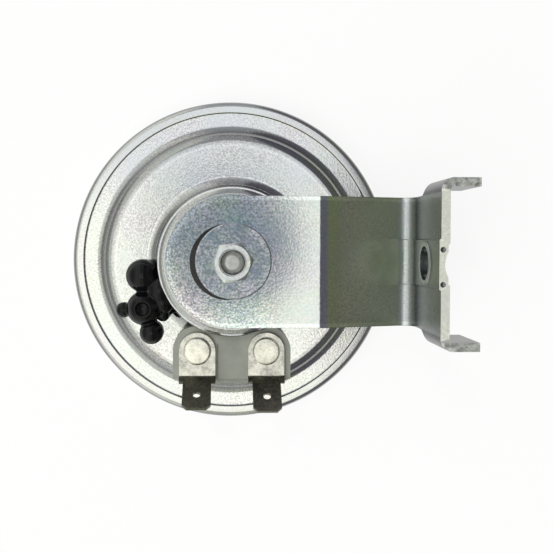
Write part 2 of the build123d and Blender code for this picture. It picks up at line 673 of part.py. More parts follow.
def terminal(place, angle):
    """Flat base under the rivet, then a bend to a shouldered blade that points to the rear."""
    low = PLATEAU_Z + INSULATOR_HEIGHT
    base = Circle(TERMINAL_WIDTH / 2)
    base += Pos(0, -TERMINAL_REACH / 2) * Rectangle(TERMINAL_WIDTH, TERMINAL_REACH)
    base -= Circle(RIVET_RADIUS + SLEEVE_CLEARANCE)
    plate = extrude(base, amount=TERMINAL_SHEET)
    tilt = math.radians(angle)
    inner = TERMINAL_BEND_ROUND
    outer = inner + TERMINAL_SHEET
    centre = Vector(-TERMINAL_REACH, outer)
    along = Vector(-math.cos(tilt), math.sin(tilt))
    outward = Vector(-math.sin(tilt), -math.cos(tilt))
    middle = Vector(-math.sin(tilt / 2), -math.cos(tilt / 2))
    length = SHOULDER_LENGTH + BLADE_LENGTH
    outer_end = centre + outward * outer
    inner_end = centre + outward * inner
    side = make_face([
        ThreePointArc(centre + Vector(0, -outer), centre + middle * outer, outer_end),
        Polyline(outer_end, outer_end + along * length, inner_end + along * length, inner_end),
        ThreePointArc(inner_end, centre + middle * inner, centre + Vector(0, -inner)),
        Line(centre + Vector(0, -inner), centre + Vector(0, -outer)),
    ])
    half = TERMINAL_WIDTH / 2
    bent = extrude(Plane.YZ * side, amount=half, both=True)
    start = Vector(0, inner_end.X, inner_end.Y)
    blade_plane = Plane(origin=start, x_dir=(1, 0, 0), z_dir=(0, outward.X, outward.Y))
    narrow = BLADE_WIDTH / 2
    tip = narrow - BLADE_CHAMFER
    for sign in (-1, 1):
        cut = Polyline(
            (sign * narrow, SHOULDER_LENGTH),
            (sign * narrow, length - BLADE_CHAMFER),
            (sign * tip, length),
            (sign * half, length),
            (sign * half, SHOULDER_LENGTH),
            close=True,
        )
        bent -= blade_plane * extrude(make_face(cut), amount=2 * TERMINAL_SHEET, both=True)
    hole = Pos(0, length - BLADE_HOLE_FROM_TIP) * Circle(BLADE_HOLE_RADIUS)
    bent -= blade_plane * extrude(hole, amount=2 * TERMINAL_SHEET, both=True)
    return Pos(place[0], place[1], low) * (plate + bent)


def terminal_rivet(place):
    """Solid rivet: a flat head on the terminal and a formed tail inside the housing."""
    under_head = PLATEAU_Z + INSULATOR_HEIGHT + TERMINAL_SHEET
    tail = STRIP_UNDER_Z - RIVET_TAIL
    shape = turned([
        (0, tail, 0),
        (RIVET_TAIL_RADIUS, tail, RIVET_TAIL / 3),
        (RIVET_TAIL_RADIUS, STRIP_UNDER_Z, 0),
        (RIVET_RADIUS, STRIP_UNDER_Z, 0),
        (RIVET_RADIUS, under_head, 0),
        (RIVET_HEAD_RADIUS, under_head, 0),
        (RIVET_HEAD_RADIUS, under_head + RIVET_HEAD, RIVET_HEAD_ROUND),
        (0, under_head + RIVET_HEAD, 0),
    ])
    return Pos(place[0], place[1], 0) * shape


def contact_strip():
    """Brass strip from the left rivet's tail to the top of the breaker's stack."""
    plan = arm(LEFT_RIVET, BREAKER_AT, CONTACT_STRIP_WIDTH)
    plan += Pos(*LEFT_RIVET) * Circle(STRIP_PAD_RADIUS)
    plan += Pos(*BREAKER_AT) * Circle(STRIP_PAD_RADIUS)
    plan -= Pos(*LEFT_RIVET) * Circle(RIVET_RADIUS + SLEEVE_CLEARANCE)
    plan -= Pos(*BREAKER_AT) * Circle(BREAKER_RIVET_RADIUS + SLEEVE_CLEARANCE)
    return Pos(0, 0, STRIP_UNDER_Z) * extrude(plan, amount=STRIP_SHEET)


def coil_tag():
    """Ring tag under the right rivet's tail, with a tab towards the coil."""
    tab_end = polar(HUB_RADIUS, TAG_ANGLE)
    plan = arm(RIGHT_RIVET, tab_end, CONTACT_STRIP_WIDTH)
    plan += Pos(*RIGHT_RIVET) * Circle(STRIP_PAD_RADIUS)
    plan -= Pos(*RIGHT_RIVET) * Circle(RIVET_RADIUS + SLEEVE_CLEARANCE)
    return Pos(0, 0, STRIP_UNDER_Z) * extrude(plan, amount=STRIP_SHEET)


def lead(angle, start_z):
    """Short wire from a tab at start_z, round under the coil's edge and up to the bobbin."""
    inner = BOBBIN_RADIUS - WINDING_SHORT - LEAD_BEND
    outer = HUB_RADIUS
    turn_z = BOBBIN_Z - LEAD_DROP
    path = FilletPolyline(
        [(outer, 0, start_z), (outer, 0, turn_z), (inner, 0, turn_z), (inner, 0, BOBBIN_Z)],
        radius=LEAD_BEND,
    )
    section = Plane(origin=path @ 0, z_dir=path % 0) * Circle(LEAD_RADIUS)
    return Rot(0, 0, angle) * sweep(section, path=path)


def breaker_base():
    """Insulating block under the plateau, with a bush through the housing."""
    bush = BREAKER_RIVET_RADIUS + BUSH_WALL + SLEEVE_CLEARANCE
    bore = BREAKER_RIVET_RADIUS + SLEEVE_CLEARANCE
    block = ring_at(BREAKER_AT, bore, BREAKER_PAD_RADIUS, INNER_PLATE_Z, PLATEAU_UNDER_Z)
    return block + ring_at(BREAKER_AT, bore, bush, INNER_PLATE_Z, PLATEAU_Z)


def breaker_spacer():
    """Insulating sleeve from the contact strip to the spring arm, with a spigot through the spring."""
    bore = BREAKER_RIVET_RADIUS + SLEEVE_CLEARANCE
    sleeve = ring_at(BREAKER_AT, bore, SPACER_RADIUS, SPRING_TOP_Z, STRIP_UNDER_Z)
    return sleeve + ring_at(BREAKER_AT, bore, bore + SPIGOT_WALL, FIXED_ARM_TOP_Z, SPRING_TOP_Z)


def breaker_ring():
    """Insulating ring between the spring arm and the fixed arm."""
    bore = BREAKER_RIVET_RADIUS + 2 * SLEEVE_CLEARANCE + SPIGOT_WALL
    return ring_at(BREAKER_AT, bore, BREAKER_PAD_RADIUS, FIXED_ARM_TOP_Z, SPRING_Z)


def breaker_washer():
    """Insulating washer outside the housing, under the breaker rivet's head."""
    bore = BREAKER_RIVET_RADIUS + SLEEVE_CLEARANCE
    return ring_at(BREAKER_AT, bore, BREAKER_WASHER_RADIUS, PLATEAU_Z, PLATEAU_Z + BREAKER_WASHER)


def breaker_rivet():
    """Rivet that holds the breaker's stack to the housing."""
    under_head = PLATEAU_Z + BREAKER_WASHER
    tail = FIXED_ARM_Z - BREAKER_TAIL
    shape = turned([
        (0, tail, 0),
        (BREAKER_HEAD_RADIUS, tail, 0),
        (BREAKER_HEAD_RADIUS, FIXED_ARM_Z, 0),
        (BREAKER_RIVET_RADIUS, FIXED_ARM_Z, 0),
        (BREAKER_RIVET_RADIUS, under_head, 0),
        (BREAKER_HEAD_RADIUS, under_head, 0),
        (BREAKER_HEAD_RADIUS, under_head + BREAKER_HEAD, BREAKER_HEAD / 2),
        (0, under_head + BREAKER_HEAD, 0),
    ])
    return Pos(BREAKER_AT[0], BREAKER_AT[1], 0) * shape


def breaker_spring():
    """Spring arm from the stack to above the armature's collar."""
    tip = polar(COLLAR_RADIUS - SPRING_OVERLAP + SPRING_WIDTH / 2, BREAKER_ANGLE)
    plan = arm(BREAKER_AT, tip, SPRING_WIDTH)
    plan += Pos(*BREAKER_AT) * Circle(BREAKER_PAD_RADIUS)
    spigot = BREAKER_RIVET_RADIUS + 2 * SLEEVE_CLEARANCE + SPIGOT_WALL
    plan -= Pos(*BREAKER_AT) * Circle(spigot)
    return Pos(0, 0, SPRING_Z) * extrude(plan, amount=SPRING_SHEET)


def fixed_contact_arm():
    """Stiff arm at the bottom of the stack, with a tongue that the adjuster screw pushes on."""
    tip = polar(COLLAR_RADIUS + FIXED_ARM_GAP + FIXED_ARM_WIDTH / 2, BREAKER_ANGLE)
    plan = arm(BREAKER_AT, tip, FIXED_ARM_WIDTH)
    plan += arm(BREAKER_AT, ADJUSTER_AT, FIXED_ARM_WIDTH)
    plan += Pos(*BREAKER_AT) * Circle(BREAKER_PAD_RADIUS)
    plan -= Pos(*BREAKER_AT) * Circle(BREAKER_RIVET_RADIUS + SLEEVE_CLEARANCE)
    return Pos(0, 0, FIXED_ARM_Z) * extrude(plan, amount=FIXED_ARM_SHEET)


def adjuster_screw():
    """Set screw through the housing's boss, down to the fixed arm's tongue."""
    top = PLATEAU_Z + ADJUSTER_STANDS_OUT
    screw = ring_at(ADJUSTER_AT, 0, ADJUSTER_RADIUS, FIXED_ARM_TOP_Z, top)
    socket = Pos(ADJUSTER_AT[0], ADJUSTER_AT[1], top) * extrude(
        RegularPolygon(ADJUSTER_SOCKET_RADIUS, 6),
        amount=-ADJUSTER_SOCKET_DEPTH,
    )
    return screw - socket


def sealant():
    """Drops of set sealant over the adjuster and the breaker's rivet, run against the hub."""
    ball_x, ball_y = polar(BREAKER_RADIUS - SEALANT_BALL_SHIFT, BREAKER_ANGLE)
    adjuster_x, adjuster_y = ADJUSTER_AT
    level = PLATEAU_Z + SEALANT_LEVEL
    dome_z = level + SEALANT_DOME_RAISE
    body = Pos(ball_x, ball_y, level) * Sphere(SEALANT_BALL_RADIUS)
    body += Pos(adjuster_x, adjuster_y, dome_z) * Sphere(SEALANT_DOME_RADIUS)
    for right, up, raised, radius in SEALANT_DROPS:
        body += Pos(adjuster_x + right, adjuster_y + up, level + raised) * Sphere(radius)
    body -= housing_form()
    crater_z = dome_z + SEALANT_DOME_RADIUS - SEALANT_CRATER_DEPTH + SEALANT_CRATER_RADIUS
    body -= Pos(adjuster_x, adjuster_y, crater_z) * Sphere(SEALANT_CRATER_RADIUS)
    body -= ring_at(ADJUSTER_AT, 0, ADJUSTER_RADIUS, PLATEAU_Z, PLATEAU_Z + ADJUSTER_STANDS_OUT)
    body -= ring_at(BREAKER_AT, 0, BREAKER_WASHER_RADIUS, PLATEAU_Z, PLATEAU_Z + BREAKER_WASHER)
    return body - breaker_rivet()


def gasket(low):
    """Ring that seals the edge of the diaphragm."""
    return ring(GASKET_INNER_RADIUS, FLANGE_RADIUS, low, low + GASKET_SHEET)


def around_shank(outer, low, thickness):
    """Spacer or washer on the armature's shank."""
    return ring(SHANK_RADIUS + SLEEVE_CLEARANCE, outer, low, low + thickness)


def contact_point(low):
    """Contact rivet on one of the breaker's arms."""
    return ring_at(CONTACT_AT, 0, CONTACT_RADIUS, low, low + CONTACT_HEIGHT)


NODES = {
    "housing": housing(),
    "front_cover": front_cover(),
    "front_gasket": gasket(LEDGE_Z),
    "diaphragm": diaphragm(),
    "rear_gasket": gasket(REAR_GASKET_Z),
    "tone_disc": tone_disc(),
    "tone_disc_spacer": around_shank(TONE_SPACER_RADIUS, SPACER_Z, TONE_SPACER),
    "tone_disc_washer": around_shank(TONE_WASHER_RADIUS, TONE_WASHER_Z, TONE_WASHER),
    "armature": armature(),
    "pole_core": pole_core(),
    "coil_bobbin": coil_bobbin(),
    "coil_winding": coil_winding(),
    "bracket": bracket(),
    "fibre_washer": fibre_washer(),
    "bracket_washer": bracket_washer(),
    "bracket_nut": bracket_nut(),
    "terminal_insulator": terminal_insulator(),
    "terminal_inner_plate": terminal_inner_plate(),
    "terminal_left": terminal(LEFT_RIVET, LEFT_BLADE_ANGLE),
    "terminal_right": terminal(RIGHT_RIVET, RIGHT_BLADE_ANGLE),
    "rivet_left": terminal_rivet(LEFT_RIVET),
    "rivet_right": terminal_rivet(RIGHT_RIVET),
    "contact_strip": contact_strip(),
    "coil_tag": coil_tag(),
    "coil_lead": lead(TAG_ANGLE, STRIP_UNDER_Z),
    "breaker_lead": lead(BREAKER_ANGLE, SPRING_TOP_Z),
    "breaker_base": breaker_base(),
    "breaker_spacer": breaker_spacer(),
    "breaker_ring": breaker_ring(),
    "breaker_washer": breaker_washer(),
    "breaker_rivet": breaker_rivet(),
    "breaker_spring": breaker_spring(),
    "moving_contact": contact_point(SPRING_Z - CONTACT_HEIGHT),
    "fixed_contact": contact_point(FIXED_ARM_TOP_Z),
    "fixed_contact_arm": fixed_contact_arm(),
    "adjuster_screw": adjuster_screw(),
    "sealant": sealant(),
}

for node, shape in NODES.items():
    export_step(shape, f"parts/{node}.step")
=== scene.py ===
import math

import bmesh
import bpy
from bpy.props import FloatProperty, FloatVectorProperty, IntProperty, PointerProperty
from mathutils import Matrix, Vector


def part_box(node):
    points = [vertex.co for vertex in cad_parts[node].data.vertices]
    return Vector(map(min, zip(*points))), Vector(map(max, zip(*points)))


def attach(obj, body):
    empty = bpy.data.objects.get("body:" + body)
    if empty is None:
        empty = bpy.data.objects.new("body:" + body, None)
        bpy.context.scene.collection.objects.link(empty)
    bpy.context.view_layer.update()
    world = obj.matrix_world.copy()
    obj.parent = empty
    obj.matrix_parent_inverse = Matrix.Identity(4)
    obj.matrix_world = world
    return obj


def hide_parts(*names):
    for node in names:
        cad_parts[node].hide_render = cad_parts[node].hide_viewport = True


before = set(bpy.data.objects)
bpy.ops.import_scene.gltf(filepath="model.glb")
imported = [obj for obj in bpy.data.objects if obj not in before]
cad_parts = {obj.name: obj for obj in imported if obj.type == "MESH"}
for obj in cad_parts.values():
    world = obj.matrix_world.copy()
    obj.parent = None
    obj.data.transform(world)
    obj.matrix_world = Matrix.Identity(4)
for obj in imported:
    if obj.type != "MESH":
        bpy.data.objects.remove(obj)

bl_info = {
    "name": "Disc horn",
    "version": (1, 0, 0),
    "blender": (4, 5, 0),
    "location": "3D View > Sidebar > Horn",
    "description": "Builds the pieces of an electromagnetic disc horn, their finishes and a plain studio",
    "category": "Object",
}

HOUSING_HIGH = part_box("housing")[1]
COVER_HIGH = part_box("front_cover")[1]
BRACKET_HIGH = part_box("bracket")[1]

# Reaches, in metres, of the tests that pick vertices by their place, and of merging doubles
SAME_PLACE = 0.000002
TOUCHING = 0.000003
NEARLY_TOUCHING = 0.00001
WELD = 0.0000005


def mm(value):
    """Millimetres as metres."""
    return value * 0.001


class HornShellSizes(bpy.types.PropertyGroup):
    """Sizes of the housing and of the front cover."""

    hub_radius: FloatProperty(
        name="Hub radius", description="Outside of the raised centre", default=mm(16.7), unit="LENGTH")
    wall_radius: FloatProperty(
        name="Wall radius", description="Outside of the wall round the plateau", default=mm(29.9),
        unit="LENGTH")
    flange_radius: FloatProperty(
        name="Flange radius", description="Edge of the flange under the roll",
        default=HOUSING_HIGH.x, unit="LENGTH")
    flange_top: FloatProperty(
        name="Flange height", description="Rear face of the flange", default=mm(7.0), unit="LENGTH")
    plateau_top: FloatProperty(
        name="Plateau height", description="Rear face of the plateau", default=mm(16.2), unit="LENGTH")
    hub_top: FloatProperty(
        name="Hub height", description="Rear face of the hub", default=HOUSING_HIGH.z, unit="LENGTH")
    sheet: FloatProperty(
        name="Housing sheet", description="Thickness of the drawn housing", default=mm(1.2),
        unit="LENGTH")
    cover_sheet: FloatProperty(
        name="Cover sheet", description="Thickness of the front cover", default=mm(0.8), unit="LENGTH")
    rim_radius: FloatProperty(
        name="Rim radius", description="Outside of the rolled edge", default=COVER_HIGH.x,
        unit="LENGTH")
    steps: IntProperty(
        name="Steps", description="Faces round each turned piece", default=224, min=48)


class HornBracketSizes(bpy.types.PropertyGroup):
    """Sizes of the bent bracket."""

    sheet: FloatProperty(
        name="Sheet", description="Thickness of the bracket", default=mm(1.8), unit="LENGTH")
    width: FloatProperty(
        name="Strip width", description="Width of the strip", default=mm(28.8), unit="LENGTH")
    flat: FloatProperty(
        name="Flat length", description="From the stud to the first bend", default=mm(18.9),
        unit="LENGTH")
    first_bend: FloatProperty(
        name="First bend", description="Outside radius of the first bend", default=mm(8.0),
        unit="LENGTH")
    slope: FloatProperty(
        name="Slope", description="Angle of the sloping part", default=math.radians(16.0),
        unit="ROTATION")
    slope_length: FloatProperty(
        name="Slope length", description="Length between the two bends", default=mm(17.0),
        unit="LENGTH")
    second_bend: FloatProperty(
        name="Second bend", description="Inside radius of the second bend", default=mm(2.65),
        unit="LENGTH")
    rib_start: FloatProperty(
        name="Rib start", description="From the first bend to where the rib begins to rise",
        default=mm(13.6), unit="LENGTH")
    rib_width: FloatProperty(
        name="Rib width", description="Width of the pressed rib", default=mm(9.8), unit="LENGTH")
    rib_lift: FloatProperty(
        name="Rib height", description="How far the rib is pressed up", default=mm(0.35),
        unit="LENGTH")
    hole_radius: FloatProperty(
        name="Hole radius", description="Mounting hole in the web", default=mm(3.6), unit="LENGTH")
    edge_round: FloatProperty(
        name="Edge rounding", description="Rounding of the sheared edges", default=mm(0.28),
        unit="LENGTH")


class HornTerminalSizes(bpy.types.PropertyGroup):
    """Sizes of the blade terminals, their rivets and their insulator."""

    pitch: FloatProperty(
        name="Pitch", description="Distance between the two rivets", default=mm(15.5), unit="LENGTH")
    rivet_y: FloatProperty(
        name="Rivet line", description="Place of the rivets along Y", default=mm(-20.1),
        unit="LENGTH")
    width: FloatProperty(
        name="Base width", description="Width of a terminal's base", default=mm(8.2), unit="LENGTH")
    blade_width: FloatProperty(
        name="Blade width", description="Width of a blade", default=mm(6.3), unit="LENGTH")
    sheet: FloatProperty(
        name="Sheet", description="Thickness of a terminal", default=mm(0.8), unit="LENGTH")
    left_angle: FloatProperty(
        name="Left blade", description="Angle of the left blade", default=math.radians(55.0),
        unit="ROTATION")
    right_angle: FloatProperty(
        name="Right blade", description="Angle of the right blade", default=math.radians(48.0),
        unit="ROTATION")


class HornColours(bpy.types.PropertyGroup):
    """Colours of the finishes."""

    zinc: FloatVectorProperty(
        name="Zinc", description="Plated sheet of the housing and cover", subtype="COLOR", size=3,
        default=(0.66, 0.67, 0.665), min=0.0, max=1.0)
    bracket: FloatVectorProperty(
        name="Bracket", description="Plated sheet of the bracket", subtype="COLOR", size=3,
        default=(0.58, 0.60, 0.605), min=0.0, max=1.0)
    tin: FloatVectorProperty(
        name="Tin", description="Plating of the terminals", subtype="COLOR", size=3,
        default=(0.66, 0.64, 0.59), min=0.0, max=1.0)
    nylon: FloatVectorProperty(
        name="Nylon", description="Terminal insulator", subtype="COLOR", size=3,
        default=(0.26, 0.27, 0.235), min=0.0, max=1.0)
    sealant: FloatVectorProperty(
        name="Sealant", description="Set sealant", subtype="COLOR", size=3,
        default=(0.004, 0.004, 0.0045), min=0.0, max=1.0)
    floor: FloatVectorProperty(
        name="Floor", description="Studio floor", subtype="COLOR", size=3,
        default=(0.9, 0.9, 0.9), min=0.0, max=1.0)


# Modelling by operators

def clear_selection():
    """Object mode with nothing selected."""
    if bpy.context.object and bpy.context.object.mode != "OBJECT":
        bpy.ops.object.mode_set(mode="OBJECT")
    bpy.ops.object.select_all(action="DESELECT")


def adopt(name):
    """The primitive just added, named, with its place in its mesh."""
    piece = bpy.context.active_object
    piece.name = name
    piece.data.name = name
    bpy.ops.object.transform_apply(location=True, rotation=True, scale=True)
    return piece


def activate(piece):
    """Only this piece selected and active."""
    clear_selection()
    piece.select_set(True)
    bpy.context.view_layer.objects.active = piece


def pick(piece, kind, test):
    """In edit mode, selects just the vertices, edges or faces that pass a test."""
    bpy.ops.mesh.select_mode(type=kind)
    bpy.ops.mesh.select_all(action="DESELECT")
    mesh = bmesh.from_edit_mesh(piece.data)
    chosen = {"VERT": mesh.verts, "EDGE": mesh.edges, "FACE": mesh.faces}[kind]
    for item in chosen:
        if test(item):
            item.select_set(True)
    mesh.select_flush_mode()
    bmesh.update_edit_mesh(piece.data)


def near(place):
    """Test for a vertex at a place."""
    target = Vector(place)
    return lambda vertex: (vertex.co - target).length < SAME_PLACE


def extrude(step):
    """Extrudes what is selected by a step."""
    bpy.ops.mesh.extrude_region_move(TRANSFORM_OT_translate={"value": step})


def swing(steps, angle, centre, axis):
    """Draws the selection round an axis, by the right-hand rule. The spin operator counts the other way."""
    bpy.ops.mesh.spin(steps=steps, angle=-angle, center=centre, axis=axis)


def draw_section(name, corners, closed):
    """An upright outline in the XZ plane, drawn from one vertex, with rounded corners.

    Each corner is (distance from the axis, height, rounding radius).
    """
    clear_selection()
    start = corners[0]
    bpy.ops.mesh.primitive_plane_add(size=mm(1), location=(start[0], 0, start[1]))
    piece = adopt(name)
    bpy.ops.object.mode_set(mode="EDIT")
    bpy.ops.mesh.select_mode(type="VERT")
    bpy.ops.mesh.select_all(action="SELECT")
    bpy.ops.mesh.merge(type="CENTER")
    ring = list(corners) + ([start] if closed else [])
    for before, after in zip(ring, ring[1:]):
        extrude((after[0] - before[0], 0, after[1] - before[1]))
    bpy.ops.mesh.select_all(action="SELECT")
    bpy.ops.mesh.remove_doubles(threshold=WELD)
    count = len(corners)
    for number, (across, height, rounding) in enumerate(corners):
        if not rounding:
            continue
        before = Vector(corners[number - 1][:2])
        after = Vector(corners[(number + 1) % count][:2])
        here = Vector((across, height))
        turn = (here - before).angle(after - here)
        pick(piece, "VERT", near((across, 0, height)))
        bpy.ops.mesh.bevel(
            offset=rounding * math.tan(turn / 2), segments=max(3, round(turn * 6)),
            affect="VERTICES", clamp_overlap=False)
    return piece


def sheet_strip(name, corners, columns):
    """A bent strip of sheet: its side line, drawn out across Y from column to column.

    It ends in edit mode.
    """
    piece = draw_section(name, corners, closed=False)
    bpy.ops.mesh.select_all(action="SELECT")
    bpy.ops.transform.translate(value=(0, columns[0], 0))
    for before, after in zip(columns, columns[1:]):
        extrude((0, after - before, 0))
    bpy.ops.mesh.select_all(action="SELECT")
    bpy.ops.mesh.normals_make_consistent(inside=False)
    face_up(piece)
    return piece


def face_up(piece):
    """In edit mode, turns a sheet's faces so that its first flat faces upwards."""
    mesh = bmesh.from_edit_mesh(piece.data)
    mesh.faces.ensure_lookup_table()
    flat = min(mesh.faces, key=lambda face: face.calc_center_median().x)
    if flat.normal.z < 0:
        bpy.ops.mesh.flip_normals()


def turned(name, corners, steps, closed=True, place=(0, 0)):
    """A piece turned about the horn's axis, or about a parallel axis at a place."""
    piece = draw_section(name, corners, closed)
    bpy.ops.mesh.select_all(action="SELECT")
    swing(steps, math.tau, (0, 0, 0), (0, 0, 1))
    bpy.ops.mesh.select_all(action="SELECT")
    bpy.ops.mesh.remove_doubles(threshold=WELD)
    bpy.ops.mesh.normals_make_consistent(inside=False)
    bpy.ops.transform.translate(value=(place[0], place[1], 0))
    clear_selection()
    return piece


def settle(piece, turn=(0, 0, 0), place=(0, 0, 0)):
    """Turns and moves a piece, and puts its new place in its mesh."""
    activate(piece)
    piece.rotation_euler = turn
    piece.location = place
    bpy.ops.object.transform_apply(location=True, rotation=True, scale=True)


def apply_modifier(piece, kind, **settings):
    """Adds a modifier with its settings and applies it."""
    activate(piece)
    bpy.ops.object.modifier_add(type=kind)
    modifier = piece.modifiers[-1]
    for key, value in settings.items():
        setattr(modifier, key, value)
    bpy.ops.object.modifier_apply(modifier=modifier.name)


def combine(piece, tool, operation):
    """Joins a tool to a piece, cuts it away or keeps what both share. The tool is used up."""
    apply_modifier(piece, "BOOLEAN", object=tool, operation=operation, solver="EXACT")
    bpy.data.objects.remove(tool)


def join(parts):
    """Makes one object of several. It is the first of them."""
    clear_selection()
    for part in parts:
        part.select_set(True)
    bpy.context.view_layer.objects.active = parts[0]
    bpy.ops.object.join()
    return parts[0]


def round_edges(piece, width, segments, angle=40.0):
    """Rounds every edge sharper than an angle in degrees."""
    apply_modifier(
        piece, "BEVEL", width=width, segments=segments, limit_method="ANGLE",
        angle_limit=math.radians(angle), miter_outer="MITER_ARC")


def cylinder(name, radius, low, high, place=(0, 0), sides=96):
    """An upright cylinder between two heights."""
    clear_selection()
    bpy.ops.mesh.primitive_cylinder_add(
        vertices=sides, radius=radius, depth=high - low, location=(place[0], place[1], (low + high) / 2))
    return adopt(name)


def block(name, low, high):
    """A box between two corners."""
    clear_selection()
    middle = [(a + b) / 2 for a, b in zip(low, high)]
    size = [b - a for a, b in zip(low, high)]
    bpy.ops.mesh.primitive_cube_add(size=1, location=middle, scale=size)
    return adopt(name)


def ball(name, radius, place, segments=48, rings=24):
    """A ball at a place."""
    clear_selection()
    bpy.ops.mesh.primitive_uv_sphere_add(
        segments=segments, ring_count=rings, radius=radius, location=place)
    return adopt(name)


def thicken(piece, thickness):
    """Gives a drawn sheet its thickness, away from its upper face."""
    apply_modifier(
        piece, "SOLIDIFY", thickness=thickness, offset=-1.0, use_even_offset=True,
        use_quality_normals=True)


def finish_piece(piece, material, node_name, angle=32.0):
    """Shades a piece of the horn's body, gives it its finish and puts it in the place of a CAD node."""
    activate(piece)
    bpy.ops.object.shade_smooth_by_angle(angle=math.radians(angle))
    apply_modifier(piece, "WEIGHTED_NORMAL", keep_sharp=True)
    piece.data.materials.clear()
    piece.data.materials.append(material)
    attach(piece, "horn")
    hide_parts(node_name)
    clear_selection()


def coat(piece, number, material, test):
    """Gives the faces that pass a test another finish, in a slot of its own."""
    piece.data.materials.append(material)
    activate(piece)
    bpy.ops.object.mode_set(mode="EDIT")
    pick(piece, "FACE", test)
    piece.active_material_index = number
    bpy.ops.object.material_slot_assign()
    clear_selection()


# Finishes

def node(tree, kind, inputs=None, **settings):
    """Adds a shader node. Its inputs are other nodes' sockets or plain values."""
    made = tree.nodes.new(kind)
    for key, value in settings.items():
        setattr(made, key, value)
    for key, value in (inputs or {}).items():
        if isinstance(value, bpy.types.NodeSocket):
            tree.links.new(value, made.inputs[key])
        else:
            made.inputs[key].default_value = value
    return made


def number(tree, operation, *values, clamp=False):
    """The outcome of a Math node."""
    return node(
        tree, "ShaderNodeMath", dict(enumerate(values)), operation=operation, use_clamp=clamp).outputs[0]


def span(tree, value, start, end, low=0.0, high=1.0, smooth=False):
    """A value's range between start and end made low to high."""
    return node(
        tree, "ShaderNodeMapRange",
        {"Value": value, "From Min": start, "From Max": end, "To Min": low, "To Max": high},
        interpolation_type="SMOOTHSTEP" if smooth else "LINEAR").outputs["Result"]


def mixed(tree, amount, under, over, blend="MIX"):
    """One colour over another, by an amount."""
    first, second = 6, 7        # The Mix node's two colour inputs
    return node(
        tree, "ShaderNodeMix", {0: amount, first: under, second: over}, data_type="RGBA",
        blend_type=blend).outputs[2]


def noise(tree, place, scale, detail, roughness=0.5):
    """A Noise Texture node."""
    return node(tree, "ShaderNodeTexNoise", {
        "Vector": place, "Scale": scale, "Detail": detail, "Roughness": roughness})


def new_group(name, inputs, outputs):
    """An empty shader node group with named sockets: (name, type, default)."""
    tree = bpy.data.node_groups.new(name, "ShaderNodeTree")
    for label, kind, default in inputs:
        socket = tree.interface.new_socket(name=label, in_out="INPUT", socket_type=kind)
        if default is not None:
            socket.default_value = default
    for label, kind in outputs:
        tree.interface.new_socket(name=label, in_out="OUTPUT", socket_type=kind)
    return tree, tree.nodes.new("NodeGroupInput"), tree.nodes.new("NodeGroupOutput")


# Painted light and shade on the plating: a distance in millimetres and a factor on the base colour.
# The drawn shells' are from the horn's axis: painted shade in their bends and fillets and at the roll's
# outer edge, and painted highlight lines on their edges. The bracket's are from its middle line or, on
# its round end, from the stud: a painted highlight along its edges and painted shade at the very edge.
LONGEST_TONE = 40.0
BRIGHTEST_TONE = 1.3
RING_PAINTED_LIGHT = (
    (0.0, 1.0), (14.2, 1.0), (14.8, 0.74), (15.9, 0.80), (16.25, 1.2), (16.6, 0.5), (16.95, 0.36),
    (17.6, 0.55), (18.7, 0.82), (19.15, 1.12), (19.6, 1.0), (26.3, 1.0), (26.65, 1.15), (27.2, 0.80),
    (28.9, 0.60), (29.6, 0.24), (30.4, 0.24), (31.0, 0.55), (32.1, 0.86), (32.5, 1.05), (36.9, 1.05),
    (37.35, 0.85), (37.65, 0.5), (38.0, 0.38))
BRACKET_EDGE_PAINTED_LIGHT = ((0.0, 1.0), (13.35, 1.0), (13.6, 1.3), (14.25, 1.3), (14.42, 0.45))


def painted_light_ramp(tree, offset, tones):
    """The tone at a distance, from a vector in units of the longest tone's distance."""
    distance = node(tree, "ShaderNodeVectorMath", {0: offset}, operation="LENGTH").outputs["Value"]
    ramp = node(tree, "ShaderNodeValToRGB", {"Fac": distance})
    stops = ramp.color_ramp.elements
    stops.remove(stops[1])
    stops[0].position = 0.0
    for place, tone in tones:
        stop = stops.new(place / LONGEST_TONE) if place else stops[0]
        share = tone / BRIGHTEST_TONE
        stop.color = (share, share, share, 1.0)
    return scaled_vector(tree, ramp.outputs["Color"], BRIGHTEST_TONE)


def scaled_vector(tree, vector, factor):
    """A vector or a colour times a number."""
    return node(
        tree, "ShaderNodeVectorMath", {0: vector, "Scale": factor}, operation="SCALE").outputs[0]


